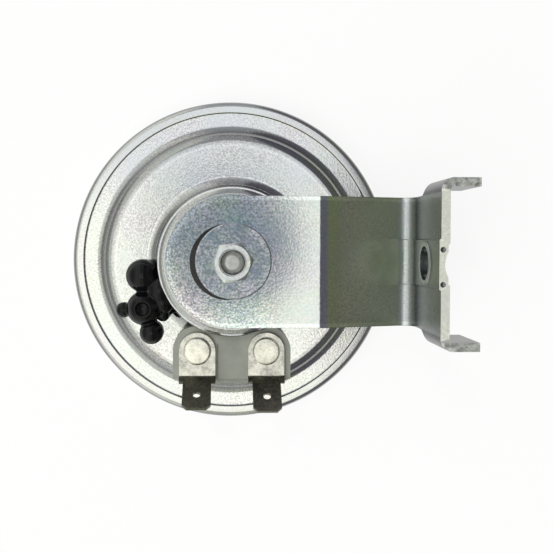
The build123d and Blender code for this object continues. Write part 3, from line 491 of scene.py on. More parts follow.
def base_with_painted_light(tree, given, axes):
    """The plating's base colour with its tones.

    It has painted shade in the drawn shells' bends and painted highlight lines on their edges. On the
    bracket it has a painted highlight along the edges and painted shade at the very edge, is olive on the
    slope and has painted shade over the web. Places are in metres.
    """
    unit = 1000.0 / LONGEST_TONE
    flat = node(
        tree, "ShaderNodeVectorMath", {0: given.outputs["Vector"], 1: (unit, unit, 0.0)},
        operation="MULTIPLY").outputs[0]
    # Painted shade in the drawn shells' bends and painted highlight lines on their edges, on the rear side
    # only
    rear_side = span(tree, axes.outputs["Z"], 0.0044, 0.0050)
    on_rings = number(tree, "MULTIPLY", rear_side, given.outputs["Rings"])
    colour = mixed(
        tree, on_rings, given.outputs["Base"], painted_light_ramp(tree, flat, RING_PAINTED_LIGHT), "MULTIPLY")
    from_middle = node(
        tree, "ShaderNodeVectorMath", {0: flat, 1: (0.0, 1.0, 1.0)}, operation="MINIMUM").outputs[0]
    # Painted shade over the bracket's web: its upright faces are darkened to paint a dark reflection
    web_painted_shade = span(tree, axes.outputs["X"], 0.0396, 0.0406, 1.0, 0.38, smooth=True)
    # Painted highlight along the bracket's edges and painted shade at the very edge
    edge_painted_light = scaled_vector(tree, painted_light_ramp(tree, from_middle, BRACKET_EDGE_PAINTED_LIGHT), web_painted_shade)
    colour = mixed(tree, given.outputs["Strip"], colour, edge_painted_light, "MULTIPLY")
    past_first_bend = span(tree, axes.outputs["X"], 0.0200, 0.0215, smooth=True)
    past_slope = span(tree, axes.outputs["X"], 0.0365, 0.0385)
    slope = number(tree, "SUBTRACT", past_first_bend, past_slope, clamp=True)
    on_slope = number(tree, "MULTIPLY", slope, given.outputs["Strip"])
    olive = node(tree, "ShaderNodeCombineXYZ", {"X": 1.12, "Y": 1.17, "Z": 0.88}).outputs[0]
    return mixed(tree, on_slope, colour, olive, "MULTIPLY")


PATTERN_OUTPUTS = [
    ("Color", "NodeSocketColor"), ("Roughness", "NodeSocketFloat"), ("Height", "NodeSocketFloat")]


def plating_group():
    """Fine speckle, soft clouds and faint interference tints of bright plating, on painted shade and
    highlights.
    """
    if "Plating" in bpy.data.node_groups:
        return bpy.data.node_groups["Plating"]
    tree, given, out = new_group("Plating", [
        ("Vector", "NodeSocketVector", None),
        ("Base", "NodeSocketColor", (0.66, 0.67, 0.66, 1.0)),
        ("Grain", "NodeSocketFloat", 2600.0),
        ("Contrast", "NodeSocketFloat", 0.35),
        ("Tint", "NodeSocketFloat", 0.25),
        ("Clouds", "NodeSocketFloat", 160.0),
        ("Smooth", "NodeSocketFloat", 0.16),
        ("Rough", "NodeSocketFloat", 0.30),
        # Rings turns on the drawn shells' painted shade and highlights; Strip turns on the bracket's
        # painted edge highlight, its painted shade over the web, its olive slope, and more speckle, tint
        # and roughness
        ("Rings", "NodeSocketFloat", 0.0),
        ("Strip", "NodeSocketFloat", 0.0),
    ], PATTERN_OUTPUTS)
    on_strip = given.outputs["Strip"]
    axes = node(tree, "ShaderNodeSeparateXYZ", {0: given.outputs["Vector"]})
    grain = noise(tree, given.outputs["Vector"], given.outputs["Grain"], 2.0, 0.65)
    cloud = noise(tree, given.outputs["Vector"], given.outputs["Clouds"], 3.0, 0.55)
    # Speckle: the grain's own value brightens and darkens the base. On the bracket the speckle and its
    # tints are strong round the stud and fade towards the bends.
    round_stud = span(tree, axes.outputs["X"], 0.013, 0.003, 0.0, 0.26, smooth=True)
    speckle = span(tree, grain.outputs["Fac"], 0.36, 0.64, -1.0, 1.0)
    uneven = span(tree, cloud.outputs["Fac"], 0.38, 0.62, 0.45, 1.5)
    contrast = number(
        tree, "MULTIPLY_ADD", round_stud, on_strip,
        number(tree, "MULTIPLY", uneven, given.outputs["Contrast"]))
    brightness = number(tree, "MULTIPLY_ADD", speckle, contrast, 1.0)
    speckled = mixed(tree, 1.0, base_with_painted_light(tree, given, axes), brightness, "MULTIPLY")
    # Tint: the grain's and the clouds' colours, made twice as bright, shift the hue a little
    hue = mixed(tree, 0.45, grain.outputs["Color"], cloud.outputs["Color"])
    tint = number(tree, "MULTIPLY_ADD", round_stud, on_strip, given.outputs["Tint"], clamp=True)
    tinted = mixed(tree, tint, speckled, mixed(tree, 1.0, hue, hue, "ADD"), "MULTIPLY")
    # Roughness: by the clouds, and on the bracket more past the first bend
    cloudy = span(
        tree, cloud.outputs["Fac"], 0.35, 0.65, given.outputs["Smooth"], given.outputs["Rough"])
    satin = span(tree, axes.outputs["X"], 0.0215, 0.0245, 0.0, 0.20, smooth=True)
    tree.links.new(tinted, out.inputs["Color"])
    tree.links.new(number(tree, "MULTIPLY_ADD", satin, on_strip, cloudy), out.inputs["Roughness"])
    tree.links.new(
        number(tree, "MULTIPLY_ADD", cloud.outputs["Fac"], 1.5, grain.outputs["Fac"]),
        out.inputs["Height"])
    return tree


def mottle_group():
    """Two soft noise sizes as one mask, and a fine grain, for plastics, board and dull metal."""
    if "Mottle" in bpy.data.node_groups:
        return bpy.data.node_groups["Mottle"]
    tree, given, out = new_group("Mottle", [
        ("Vector", "NodeSocketVector", None),
        ("Scale", "NodeSocketFloat", 300.0),
        ("Dark", "NodeSocketColor", (0.1, 0.1, 0.1, 1.0)),
        ("Light", "NodeSocketColor", (0.2, 0.2, 0.2, 1.0)),
        ("Smooth", "NodeSocketFloat", 0.3),
        ("Rough", "NodeSocketFloat", 0.5),
    ], PATTERN_OUTPUTS)
    soft = noise(tree, given.outputs["Vector"], given.outputs["Scale"], 4.0, 0.6)
    fine_scale = number(tree, "MULTIPLY", given.outputs["Scale"], 9.0)
    fine = noise(tree, given.outputs["Vector"], fine_scale, 2.0)
    mask = span(tree, soft.outputs["Fac"], 0.33, 0.67)
    roughness = span(
        tree, fine.outputs["Fac"], 0.3, 0.7, given.outputs["Smooth"], given.outputs["Rough"])
    tree.links.new(
        mixed(tree, mask, given.outputs["Dark"], given.outputs["Light"]), out.inputs["Color"])
    tree.links.new(roughness, out.inputs["Roughness"])
    tree.links.new(
        number(tree, "MULTIPLY_ADD", fine.outputs["Fac"], 0.35, soft.outputs["Fac"]),
        out.inputs["Height"])
    return tree


def new_finish(name, group, values, metallic, bump, distance, specular=0.5):
    """A material: a pattern group on object coordinates, which feeds a Principled shader and a bump."""
    if name in bpy.data.materials:
        return bpy.data.materials[name]
    material = bpy.data.materials.new(name)
    material.use_nodes = True
    tree = material.node_tree
    shader = tree.nodes["Principled BSDF"]
    place = node(tree, "ShaderNodeTexCoord")
    pattern = node(
        tree, "ShaderNodeGroup", {"Vector": place.outputs["Object"], **values}, node_tree=group)
    relief = node(tree, "ShaderNodeBump", {
        "Strength": bump, "Distance": distance, "Height": pattern.outputs["Height"]})
    tree.links.new(pattern.outputs["Color"], shader.inputs["Base Color"])
    tree.links.new(pattern.outputs["Roughness"], shader.inputs["Roughness"])
    tree.links.new(relief.outputs["Normal"], shader.inputs["Normal"])
    shader.inputs["Metallic"].default_value = metallic
    shader.inputs["Specular IOR Level"].default_value = specular
    return material


def colour4(value):
    """A colour with full alpha."""
    return (value[0], value[1], value[2], 1.0)


def scaled(value, factor):
    """A colour made darker or lighter."""
    return (value[0] * factor, value[1] * factor, value[2] * factor, 1.0)


def zinc_finish():
    """Bright zinc plating on the drawn housing."""
    base = colour4(bpy.context.scene.horn_colours.zinc)
    # Rings: 1.0 turns on painted shade in the bends and painted highlight lines on the edges
    return new_finish("Zinc plated housing", plating_group(), {
        "Base": base, "Grain": 2300.0, "Contrast": 0.16, "Tint": 0.16, "Clouds": 90.0,
        "Smooth": 0.08, "Rough": 0.13, "Rings": 1.0}, metallic=1.0, bump=0.5, distance=0.00003)


def cover_finish():
    """Bright zinc plating on the front cover."""
    base = colour4(bpy.context.scene.horn_colours.zinc)
    # Rings: 1.0 turns on painted shade in the bends and at the roll's outer edge, and painted highlight
    # lines
    return new_finish("Zinc plated cover", plating_group(), {
        "Base": base, "Grain": 2300.0, "Contrast": 0.08, "Tint": 0.12, "Clouds": 60.0,
        "Smooth": 0.10, "Rough": 0.16, "Rings": 1.0}, metallic=1.0, bump=0.3, distance=0.00002)


def bracket_finish():
    """Zinc plating on heavier sheet, with more speckle and tint."""
    base = colour4(bpy.context.scene.horn_colours.bracket)
    # Strip: 1.0 turns on the painted edge highlight and the painted shade over the web
    return new_finish("Zinc plated bracket", plating_group(), {
        "Base": base, "Grain": 2100.0, "Contrast": 0.10, "Tint": 0.28, "Clouds": 70.0,
        "Smooth": 0.06, "Rough": 0.10, "Strip": 1.0}, metallic=1.0, bump=0.4, distance=0.00002)


def sheared_finish():
    """Plated steel over a torn, sheared edge."""
    return new_finish("Sheared plated edge", plating_group(), {
        "Base": (0.56, 0.57, 0.53, 1.0), "Grain": 900.0, "Contrast": 0.36, "Tint": 0.10, "Clouds": 420.0,
        "Smooth": 0.25, "Rough": 0.45}, metallic=0.7, bump=1.0, distance=0.00008)


def cut_edge_finish():
    """The bright cut edge of the web."""
    return new_finish("Bright cut edge", plating_group(), {
        "Base": (0.80, 0.81, 0.73, 1.0), "Grain": 1500.0, "Contrast": 0.08, "Tint": 0.10, "Clouds": 300.0,
        "Smooth": 0.30, "Rough": 0.45}, metallic=0.45, bump=0.4, distance=0.00003)


def washer_finish():
    """Bluish zinc plating of the washer."""
    base = scaled(bpy.context.scene.horn_colours.bracket, 0.8)
    return new_finish("Zinc plated hardware", plating_group(), {
        "Base": (base[0] * 0.97, base[1], base[2] * 1.05, 1.0), "Grain": 1900.0, "Contrast": 0.34,
        "Tint": 0.30, "Clouds": 240.0, "Smooth": 0.10, "Rough": 0.20},
        metallic=1.0, bump=0.4, distance=0.00002)


def nut_finish():
    """Brighter zinc plating of the nut."""
    return new_finish("Zinc plated nut", plating_group(), {
        "Base": (0.76, 0.78, 0.78, 1.0), "Grain": 1300.0, "Contrast": 0.14, "Tint": 0.14,
        "Clouds": 300.0, "Smooth": 0.22, "Rough": 0.34}, metallic=1.0, bump=0.4, distance=0.00002)


def tin_finish():
    """Dull tin plating of the terminals' bases."""
    base = colour4(bpy.context.scene.horn_colours.tin)
    return new_finish("Tinned brass", plating_group(), {
        "Base": base, "Grain": 1500.0, "Contrast": 0.16, "Tint": 0.10, "Clouds": 420.0,
        "Smooth": 0.18, "Rough": 0.34}, metallic=1.0, bump=0.4, distance=0.00003)


def rivet_finish():
    """Bright, lightly tinned rivet heads."""
    return new_finish("Bright tinned rivet", plating_group(), {
        "Base": (0.86, 0.84, 0.75, 1.0), "Grain": 900.0, "Contrast": 0.12, "Tint": 0.06,
        "Clouds": 500.0, "Smooth": 0.2, "Rough": 0.34}, metallic=1.0, bump=0.5, distance=0.00004)


def blade_painted_shade_finish():
    """The blades' tin, darker and browner than the bases': painted shade for the dark reflection they show.
    """
    base = scaled(bpy.context.scene.horn_colours.tin, 0.22)
    return new_finish("Tinned blade with painted shade", plating_group(), {
        "Base": (base[0], base[1] * 0.99, base[2] * 0.86, 1.0), "Grain": 1500.0, "Contrast": 0.2,
        "Tint": 0.10, "Clouds": 420.0, "Smooth": 0.22, "Rough": 0.36},
        metallic=1.0, bump=0.4, distance=0.00003)


def nylon_finish():
    """Moulded light grey nylon."""
    base = bpy.context.scene.horn_colours.nylon
    return new_finish("Moulded nylon", mottle_group(), {
        "Scale": 220.0, "Dark": scaled(base, 0.9), "Light": scaled(base, 1.08),
        "Smooth": 0.36, "Rough": 0.5}, metallic=0.0, bump=0.15, distance=0.00003)


def sealant_finish():
    """Glossy black set sealant."""
    base = bpy.context.scene.horn_colours.sealant
    return new_finish("Set sealant", mottle_group(), {
        "Scale": 160.0, "Dark": scaled(base, 0.7), "Light": scaled(base, 1.3),
        "Smooth": 0.05, "Rough": 0.10}, metallic=0.0, bump=0.08, distance=0.00004, specular=0.28)


def plain_finish(name, dark, light, metallic, smooth, rough, scale=260.0, bump=0.2):
    """A finish for a piece inside the horn, or for one that is hardly seen."""
    return new_finish(name, mottle_group(), {
        "Scale": scale, "Dark": colour4(dark), "Light": colour4(light),
        "Smooth": smooth, "Rough": rough}, metallic=metallic, bump=bump, distance=0.00003)


def turned_steel_finish():
    """Bare turned steel of the core, the armature and the pieces on it."""
    return plain_finish(
        "Turned steel", (0.58, 0.58, 0.56), (0.72, 0.72, 0.70), 1.0, 0.34, 0.5, 700.0, 0.3)


def fibre_finish():
    """Black pressed fibre."""
    return plain_finish("Black fibre", (0.012, 0.012, 0.012), (0.03, 0.03, 0.03), 0.0, 0.5, 0.7)


# Pieces

def shell_corners(lift):
    """The housing's rear line from the flange's edge to the hub, moved inwards by lift."""
    sizes = bpy.context.scene.horn_shell
    flange_edge, wall_bend, hub_foot, hub_bend, stud_hole = mm(0.2), mm(2.4), mm(2.8), mm(1.9), mm(2.6)
    return [
        (sizes.flange_radius, sizes.flange_top - lift, flange_edge),
        (sizes.wall_radius - lift, sizes.flange_top - lift, wall_bend + lift),
        (sizes.wall_radius - lift, sizes.plateau_top - lift, wall_bend - lift),
        (sizes.hub_radius - lift, sizes.plateau_top - lift, hub_foot + lift),
        (sizes.hub_radius - lift, sizes.hub_top - lift, hub_bend - lift),
        (stud_hole, sizes.hub_top - lift, 0.0),
    ]


class HORN_OT_housing(bpy.types.Operator):
    """Builds the drawn housing with the holes for its rivets, its adjuster and its stud"""

    bl_idname = "horn.housing"
    bl_label = "Housing"

    def execute(self, context):
        sizes = context.scene.horn_shell
        piece = turned(
            "housing_shell", shell_corners(0.0) + shell_corners(sizes.sheet)[::-1], sizes.steps)
        below, above = mm(13.5), mm(17.5)
        rivet_hole, screw_hole = mm(2.4), mm(2.05)
        for node_name, radius in (("rivet_left", rivet_hole), ("rivet_right", rivet_hole),
                                  ("breaker_rivet", rivet_hole), ("adjuster_screw", screw_hole)):
            low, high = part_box(node_name)
            middle = (low + high) / 2
            hole = cylinder("hole", radius, below, above, (middle.x, middle.y), 48)
            combine(piece, hole, "DIFFERENCE")
        finish_piece(piece, zinc_finish(), "housing")
        return {"FINISHED"}


class HORN_OT_front_cover(bpy.types.Operator):
    """Builds the front cover with its rolled edge and its rings of slots"""

    bl_idname = "horn.front_cover"
    bl_label = "Front cover"

    def execute(self, context):
        sizes = context.scene.horn_shell
        sheet = sizes.cover_sheet
        piece = self.plate(sizes, sheet)
        slot_width, bridge, past = mm(2.6), mm(3.4), mm(0.5)
        first_radius, ring_spacing = 13.5, 5.6        # mm
        for ring in range(3):
            radius = mm(first_radius + ring_spacing * ring)
            count = 5 + 2 * ring
            sweep = math.tau / count - (bridge + slot_width) / radius
            cutters = [slot_cutter(radius, slot_width / 2, sweep, -past, sheet + past)]
            for number in range(1, count):
                activate(cutters[0])
                bpy.ops.object.duplicate(linked=False)
                cutters.append(context.active_object)
                settle(cutters[-1], (0, 0, math.tau * number / count))
            combine(piece, join(cutters), "DIFFERENCE")
        finish_piece(piece, cover_finish(), "front_cover")
        return {"FINISHED"}

    def plate(self, sizes, sheet):
        """The turned plate. Rows of vertices on its face keep the cuts of the slots clean."""
        chamber = sizes.wall_radius + sheet + mm(1.2)
        ledge = mm(3.9)
        roll_top = COVER_HIGH.z
        roll_inner = sizes.flange_radius - mm(0.8)
        outside, inside = mm(1.6), mm(0.8)
        rows = [mm(radius) for radius in (0.0, 4.5, 10.7, 16.3, 21.9, 27.5)]
        return turned("front_cover_shell", [(row, 0.0, 0.0) for row in rows] + [
            (chamber, 0.0, outside),
            (chamber, ledge, inside),
            (sizes.rim_radius, ledge, outside),
            (sizes.rim_radius, roll_top, mm(1.2)),
            (roll_inner, roll_top, mm(0.35)),
            (roll_inner, roll_top - sheet, 0.0),
            (sizes.rim_radius - sheet, roll_top - sheet, mm(1.1)),
            (sizes.rim_radius - sheet, ledge + sheet, inside),
            (chamber - sheet, ledge + sheet, outside),
            (chamber - sheet, sheet, inside),
        ] + [(row, sheet, 0.0) for row in rows[::-1]], sizes.steps, closed=False)


def slot_cutter(radius, half_width, sweep, low, high):
    """A curved slot with round ends as a solid: an edge swept round the axis, and two round ends.

    The ends are a little narrower and taller than the middle and have an odd number of sides, and the
    whole is turned a little, so that no two edges lie on each other.
    """
    clear_selection()
    bpy.ops.mesh.primitive_plane_add(size=half_width * 2, location=(radius, 0, low))
    piece = adopt("slot_cutter")
    bpy.ops.object.mode_set(mode="EDIT")
    pick(piece, "VERT", lambda vertex: vertex.co.y < 0)
    bpy.ops.mesh.delete(type="VERT")
    bpy.ops.mesh.select_all(action="SELECT")
    bpy.ops.transform.translate(value=(0, -half_width, 0))
    swing(32, sweep, (0, 0, 0), (0, 0, 1))
    bpy.ops.mesh.select_all(action="SELECT")
    extrude((0, 0, high - low))
    bpy.ops.mesh.select_all(action="SELECT")
    bpy.ops.mesh.normals_make_consistent(inside=False)
    clear_selection()
    narrower, taller, sides, off_seam = 0.996, mm(0.1), 31, math.radians(0.17)
    for turn in (0.0, sweep):
        end = cylinder("slot_end", half_width * narrower, low - taller, high + taller,
                       (radius * math.cos(turn), radius * math.sin(turn)), sides)
        combine(piece, end, "UNION")
    settle(piece, (0, 0, off_seam))
    return piece


class HORN_OT_bracket(bpy.types.Operator):
    """Builds the bent bracket as sheet: a round end, two bends, a pressed rib, a web and two ears"""

    bl_idname = "horn.bracket"
    bl_label = "Bracket"

    def execute(self, context):
        sizes = context.scene.horn_bracket
        half = sizes.width / 2
        top = HOUSING_HIGH.z + sizes.sheet
        end_z = BRACKET_HIGH.z
        ear_depth, hole_depth, ear_spare = mm(13.4), mm(10.8), mm(3.0)
        ear_z = end_z - ear_depth
        along = Vector((math.cos(sizes.slope), 0, -math.sin(sizes.slope)))
        normal = Vector((math.sin(sizes.slope), 0, math.cos(sizes.slope)))
        first_reach = sizes.first_bend * math.tan(sizes.slope / 2)
        first = Vector((sizes.flat + first_reach, 0, top))
        bend_end = first + along * first_reach
        slope_end = bend_end + along * sizes.slope_length
        second_turn = math.pi / 2 + sizes.slope
        second = slope_end + along * sizes.second_bend * math.tan(second_turn / 2)
        web_left = second.x
        web_centre = slope_end + normal * sizes.second_bend
        rib_start = bend_end + along * sizes.rib_start
        rib_rise, rib = mm(3.0), sizes.rib_width / 2
        rib_full = rib_start + along * rib_rise
        step, end_spare = mm(0.22), mm(1.0)
        piece = sheet_strip("bracket_pressing", [
            (-half - end_spare, top, 0.0),
            (first.x, first.z, sizes.first_bend),
            (rib_start.x, rib_start.z, 0.0),
            (rib_full.x, rib_full.z, 0.0),
            (second.x, second.z, sizes.second_bend),
            (web_left, ear_z - ear_spare, 0.0),
            (web_left, end_z, 0.0),
        ], [-half, -rib - step, -rib, rib, rib + step, half])
        self.rib(piece, rib + step / 2, rib_full, web_centre, web_left, along, normal, sizes)
        self.ears(piece, web_left, ear_z - ear_spare, half)
        thicken(piece, sizes.sheet)
        beside, beyond = mm(20), mm(60)
        keep = block("keep", (0, -beside, 0), (beyond, beside, beyond))
        combine(keep, cylinder("round_end", half, mm(20), mm(40), sides=192), "UNION")
        combine(piece, keep, "INTERSECT")
        self.trim(piece, web_left, half, ear_z)
        below_strip, above_strip = end_z * 0.4, end_z * 0.7
        stud_hole = cylinder("hole", mm(2.6), below_strip, above_strip, sides=48)
        combine(piece, stud_hole, "DIFFERENCE")
        face = web_left - sizes.rib_lift
        self.near_end(piece, face, end_z, sizes)
        self.web_hole(piece, face, end_z - hole_depth, sizes)
        round_edges(piece, sizes.edge_round, 3, 38.0)
        finish_piece(piece, bracket_finish(), "bracket", 28.0)
        self.cut_look(piece, end_z)
        return {"FINISHED"}

    def rib(self, piece, half_rib, rib_full, web_centre, web_left, along, normal, sizes):
        """Presses the rib out of the slope, the second bend and the web."""
        lift = sizes.rib_lift
        in_rib = lambda v: abs(v.co.y) < half_rib
        below = lambda v: v.co.z < web_centre.z
        on_slope = lambda v: (v.co - rib_full).dot(along) > -TOUCHING
        before_bend = lambda v: (v.co - web_centre).dot(along) < TOUCHING
        pick(piece, "VERT", lambda v: in_rib(v) and below(v) and on_slope(v) and before_bend(v))
        bpy.ops.transform.translate(value=normal * lift)
        pick(piece, "VERT", lambda v: in_rib(v) and below(v) and not before_bend(v))
        shrink = (sizes.second_bend - lift) / sizes.second_bend
        bpy.ops.transform.resize(value=(shrink, 1, shrink), center_override=web_centre)
        pick(piece, "VERT", lambda v: in_rib(v) and not below(v) and v.co.x > web_left - lift / 2)
        bpy.ops.transform.translate(value=(-lift, 0, 0))

    def ears(self, piece, web_left, ear_low, half):
        """Widens the web at its sides, bends both sides and draws the ears out to their tips."""
        bend = mm(2.5)
        straight = BRACKET_HIGH.y - bend
        for side in (-1, 1):
            pick(piece, "EDGE", lambda e: all(
                abs(v.co.y - side * half) < TOUCHING and abs(v.co.x - web_left) < NEARLY_TOUCHING
                and v.co.z > ear_low - TOUCHING for v in e.verts))
            extrude((0, side * (straight - half), 0))
            swing(12, -side * math.pi / 2, (web_left + bend, side * straight, 0), (0, 0, 1))
            extrude((BRACKET_HIGH.x - web_left - bend, 0, 0))
        bpy.ops.mesh.select_all(action="SELECT")
        bpy.ops.mesh.remove_doubles(threshold=WELD)
        bpy.ops.mesh.normals_make_consistent(inside=False)
        face_up(piece)

    def trim(self, piece, web_left, half, ear_z):
        """Shears the ears' lower edges and rounds their corners."""
        outer = BRACKET_HIGH.y + mm(4)
        corner, scrap = mm(2.6), mm(8)
        for side in (-1, 1):
            near, far = sorted((side * half, side * outer))
            shear = block("shear", (web_left - mm(1), near, ear_z - scrap),
                          (BRACKET_HIGH.x + mm(2), far, ear_z))
            bpy.ops.object.mode_set(mode="EDIT")
            pick(shear, "EDGE", lambda e: all(
                abs(v.co.z - ear_z) < SAME_PLACE and abs(v.co.y - side * half) < SAME_PLACE
                for v in e.verts))
            bpy.ops.mesh.bevel(offset=corner, segments=12, affect="EDGES")
            clear_selection()
            combine(piece, shear, "DIFFERENCE")
            activate(piece)
            bpy.ops.object.mode_set(mode="EDIT")
            pick(piece, "EDGE", lambda e: all(
                abs(v.co.z - ear_z) < NEARLY_TOUCHING and v.co.y * side > 0
                and abs(v.co.x - BRACKET_HIGH.x) < NEARLY_TOUCHING for v in e.verts))
            bpy.ops.mesh.bevel(offset=corner, segments=10, affect="EDGES", clamp_overlap=False)
            clear_selection()

    def web_hole(self, piece, face, height, sizes):
        """Raises a ring on the web's left face and pierces the mounting hole."""
        inner, outer = sizes.hole_radius - mm(0.3), sizes.hole_radius + mm(1.0)
        sunk, raised = -mm(0.3), mm(0.35)
        collar = turned("collar", [
            (inner, sunk, 0.0), (outer, sunk, 0.0), (outer, raised, mm(0.22)), (inner, raised, 0.0)], 96)
        drill = cylinder("drill", sizes.hole_radius, -mm(3), mm(3), sides=96)
        for tool, operation in ((collar, "UNION"), (drill, "DIFFERENCE")):
            settle(tool, (0, -math.pi / 2, 0), (face, 0, height))
            combine(piece, tool, operation)

    def near_end(self, piece, face, end_z, sizes):
        """Draws the near end's middle in on the right, and leaves two round dents on it."""
        radius, depth, lean = mm(4.9), mm(0.62), math.radians(-9)
        groove = cylinder("groove", radius, -mm(4), mm(2), sides=128)
        settle(groove, (0, lean, 0), (face + sizes.sheet + radius - depth, 0, end_z))
        combine(piece, groove, "DIFFERENCE")
        middle, dent_radius, dent_rise = face + sizes.sheet * 0.42, mm(0.8), mm(0.56)
        for across in (mm(2.95), -mm(3.95)):
            dent = ball("dent", dent_radius, (middle, across, end_z + dent_rise), 24, 16)
            combine(piece, dent, "DIFFERENCE")

    def cut_look(self, piece, end_z):
        """Gives the near end its cut look: bright on the web, torn on the ears."""
        facing, depth, web_half = 0.7, mm(0.05), mm(14.8)

        def at_end(face):
            return face.normal.z > facing and face.calc_center_median().z > end_z - depth

        def on_web(face):
            return abs(face.calc_center_median().y) <= web_half

        coat(piece, 1, cut_edge_finish(), lambda face: at_end(face) and on_web(face))
        coat(piece, 2, sheared_finish(), lambda face: at_end(face) and not on_web(face))


class HORN_OT_fasteners(bpy.types.Operator):
    """Builds the stud, the two washers and the hexagon nut"""

    bl_idname = "horn.fasteners"
    bl_label = "Stud, washers and nut"

    def execute(self, context):
        steps = context.scene.horn_shell.steps // 2
        self.washer("fibre_washer", mm(3.7), (0.0, mm(0.1), mm(0.1), 0.0), steps,
                    fibre_finish(), "black_fibre")
        self.washer("bracket_washer", mm(3.08), (0.0, mm(0.25), mm(0.30), mm(0.1)), steps,
                    washer_finish(), "zinc_plated_steel")
        self.nut(steps)
        self.stud(steps)
        return {"FINISHED"}

    def washer(self, node_name, bore, roundings, steps, material, slot):
        """A flat washer. Its corners are inner front, outer front, outer rear and inner rear."""
        low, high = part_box(node_name)
        middle = (low + high) / 2
        radius = (high.x - low.x) / 2
        corners = ((bore, low.z), (radius, low.z), (radius, high.z), (bore, high.z))
        disc = turned(node_name + "_disc", [
            corner + (rounding,) for corner, rounding in zip(corners, roundings)],
            steps, place=(middle.x, middle.y))
        finish_piece(disc, material, node_name)

    def nut(self, steps):
        """The hexagon nut: a six-sided bar within a turned skin with its chamfers and its bore."""
        low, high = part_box("bracket_nut")
        flats, turn = mm(8.0), math.radians(38.0)
        nut = cylinder("bracket_nut_body", flats / 2 / math.cos(math.radians(30)), low.z, high.z, sides=6)
        settle(nut, (0, 0, turn))
        bore, face, beyond, spare = mm(2.56), mm(3.7), mm(5.0), mm(0.01)
        skin = turned("nut_skin", [
            (bore, low.z + mm(0.3), 0.0), (mm(2.9), low.z - spare, 0.0),
            (face, low.z - spare, 0.0), (beyond, low.z + mm(0.7), 0.0),
            (beyond, high.z - mm(0.7), 0.0), (face, high.z + spare, mm(0.15)),
            (mm(2.95), high.z + spare, mm(0.1)), (bore, high.z - mm(0.4), 0.0)], steps)
        combine(nut, skin, "INTERSECT")
        round_edges(nut, mm(0.07), 2)
        finish_piece(nut, nut_finish(), "bracket_nut")

    def stud(self, steps):
        """The core with its shoulder, its threaded stud and the dished end."""
        low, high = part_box("pole_core")
        core, shoulder, neck_top = high.x, mm(24.0), mm(25.4)
        neck, crest, root, pitch = mm(2.1), mm(2.5), mm(2.08), mm(0.8)
        corners = [
            (0.0, low.z, 0.0), (core, low.z, mm(0.3)), (core, shoulder, 0.0),
            (neck, shoulder, 0.0), (neck, neck_top, 0.0)]
        height = mm(25.8)
        while height + pitch < high.z - mm(1.0):
            corners.append((crest, height, 0.0))
            corners.append((root, height + pitch / 2, 0.0))
            height += pitch
        corners += [
            (crest, height, 0.0), (mm(2.42), high.z - mm(0.9), mm(0.05)),
            (mm(1.5), high.z, mm(0.12)), (mm(0.5), high.z, 0.0), (0.0, high.z - mm(0.06), 0.0)]
        stud = turned("pole_core_stud", corners, steps, closed=False)
        finish_piece(stud, turned_steel_finish(), "pole_core")


class HORN_OT_insulator(bpy.types.Operator):
    """Builds the moulded insulator: two lobes, a panel between them and a lower ledge"""

    bl_idname = "horn.insulator"
    bl_label = "Terminal insulator"

    def execute(self, context):
        sizes = context.scene.horn_terminals
        shell = context.scene.horn_shell
        low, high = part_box("terminal_insulator")
        half = sizes.pitch / 2
        lobe = high.x - half
        front = shell.wall_radius - mm(3.3)
        base = shell.plateau_top - mm(1.2)
        past = mm(1.0)
        body = block("terminal_insulator_block", (-half - lobe, -front, base),
                     (half + lobe, sizes.rivet_y, high.z))
        for side in (-half, half):
            combine(body, cylinder("lobe", lobe, base, high.z, (side, sizes.rivet_y), 128), "UNION")
        bridge = block("bridge", (-half, past - front, base), (half, -mm(10), high.z))
        combine(body, bridge, "UNION")
        hub = cylinder("hub", shell.hub_radius + mm(0.3), base - past, high.z + past, sides=224)
        combine(body, hub, "DIFFERENCE")
        panel_half, panel_depth = mm(3.3), mm(0.4)
        panel = block("panel", (-panel_half, -mm(40), high.z - panel_depth),
                      (panel_half, sizes.rivet_y + mm(1.5), high.z + past))
        combine(body, panel, "DIFFERENCE")
        round_edges(body, mm(0.35), 4, 30.0)
        combine(body, self.ledge(shell, front, base, low, high), "UNION")
        combine(body, self.under(shell, base), "DIFFERENCE")
        for side in (-half, half):
            bore = cylinder("bore", mm(1.55), base - past, high.z + past, (side, sizes.rivet_y), 48)
            combine(body, bore, "DIFFERENCE")
        finish_piece(body, nylon_finish(), "terminal_insulator")
        return {"FINISHED"}

    def ledge(self, shell, front, base, low, high):
        """The low ledge that follows the plateau's edge, as a solid."""
        inner, outer = front - mm(2.0), front + mm(1.3)
        top = shell.plateau_top + mm(1.2)
        side_gap = mm(0.5)
        ledge = turned("ledge", [
            (inner, base, 0.0), (outer, base, 0.0), (outer, top, mm(0.25)), (inner, top, 0.0)],
            shell.steps)
        keep = block("keep", (low.x + side_gap, -mm(40), base - mm(1)),
                     (high.x - side_gap, -mm(10), high.z))
        combine(ledge, keep, "INTERSECT")
        return ledge

    def under(self, shell, base):
        """What the insulator must not fill: the plateau with its bend, and all below."""
        inner, outer = mm(14), mm(34)
        bottom, bend = base - mm(2), mm(2.4)
        bend_foot = shell.plateau_top - mm(2.6)
        return turned("under", [
            (inner, bottom, 0.0), (outer, bottom, 0.0), (outer, bend_foot, 0.0),
            (shell.wall_radius, bend_foot, 0.0), (shell.wall_radius, shell.plateau_top, bend),
            (inner, shell.plateau_top, 0.0)], shell.steps)


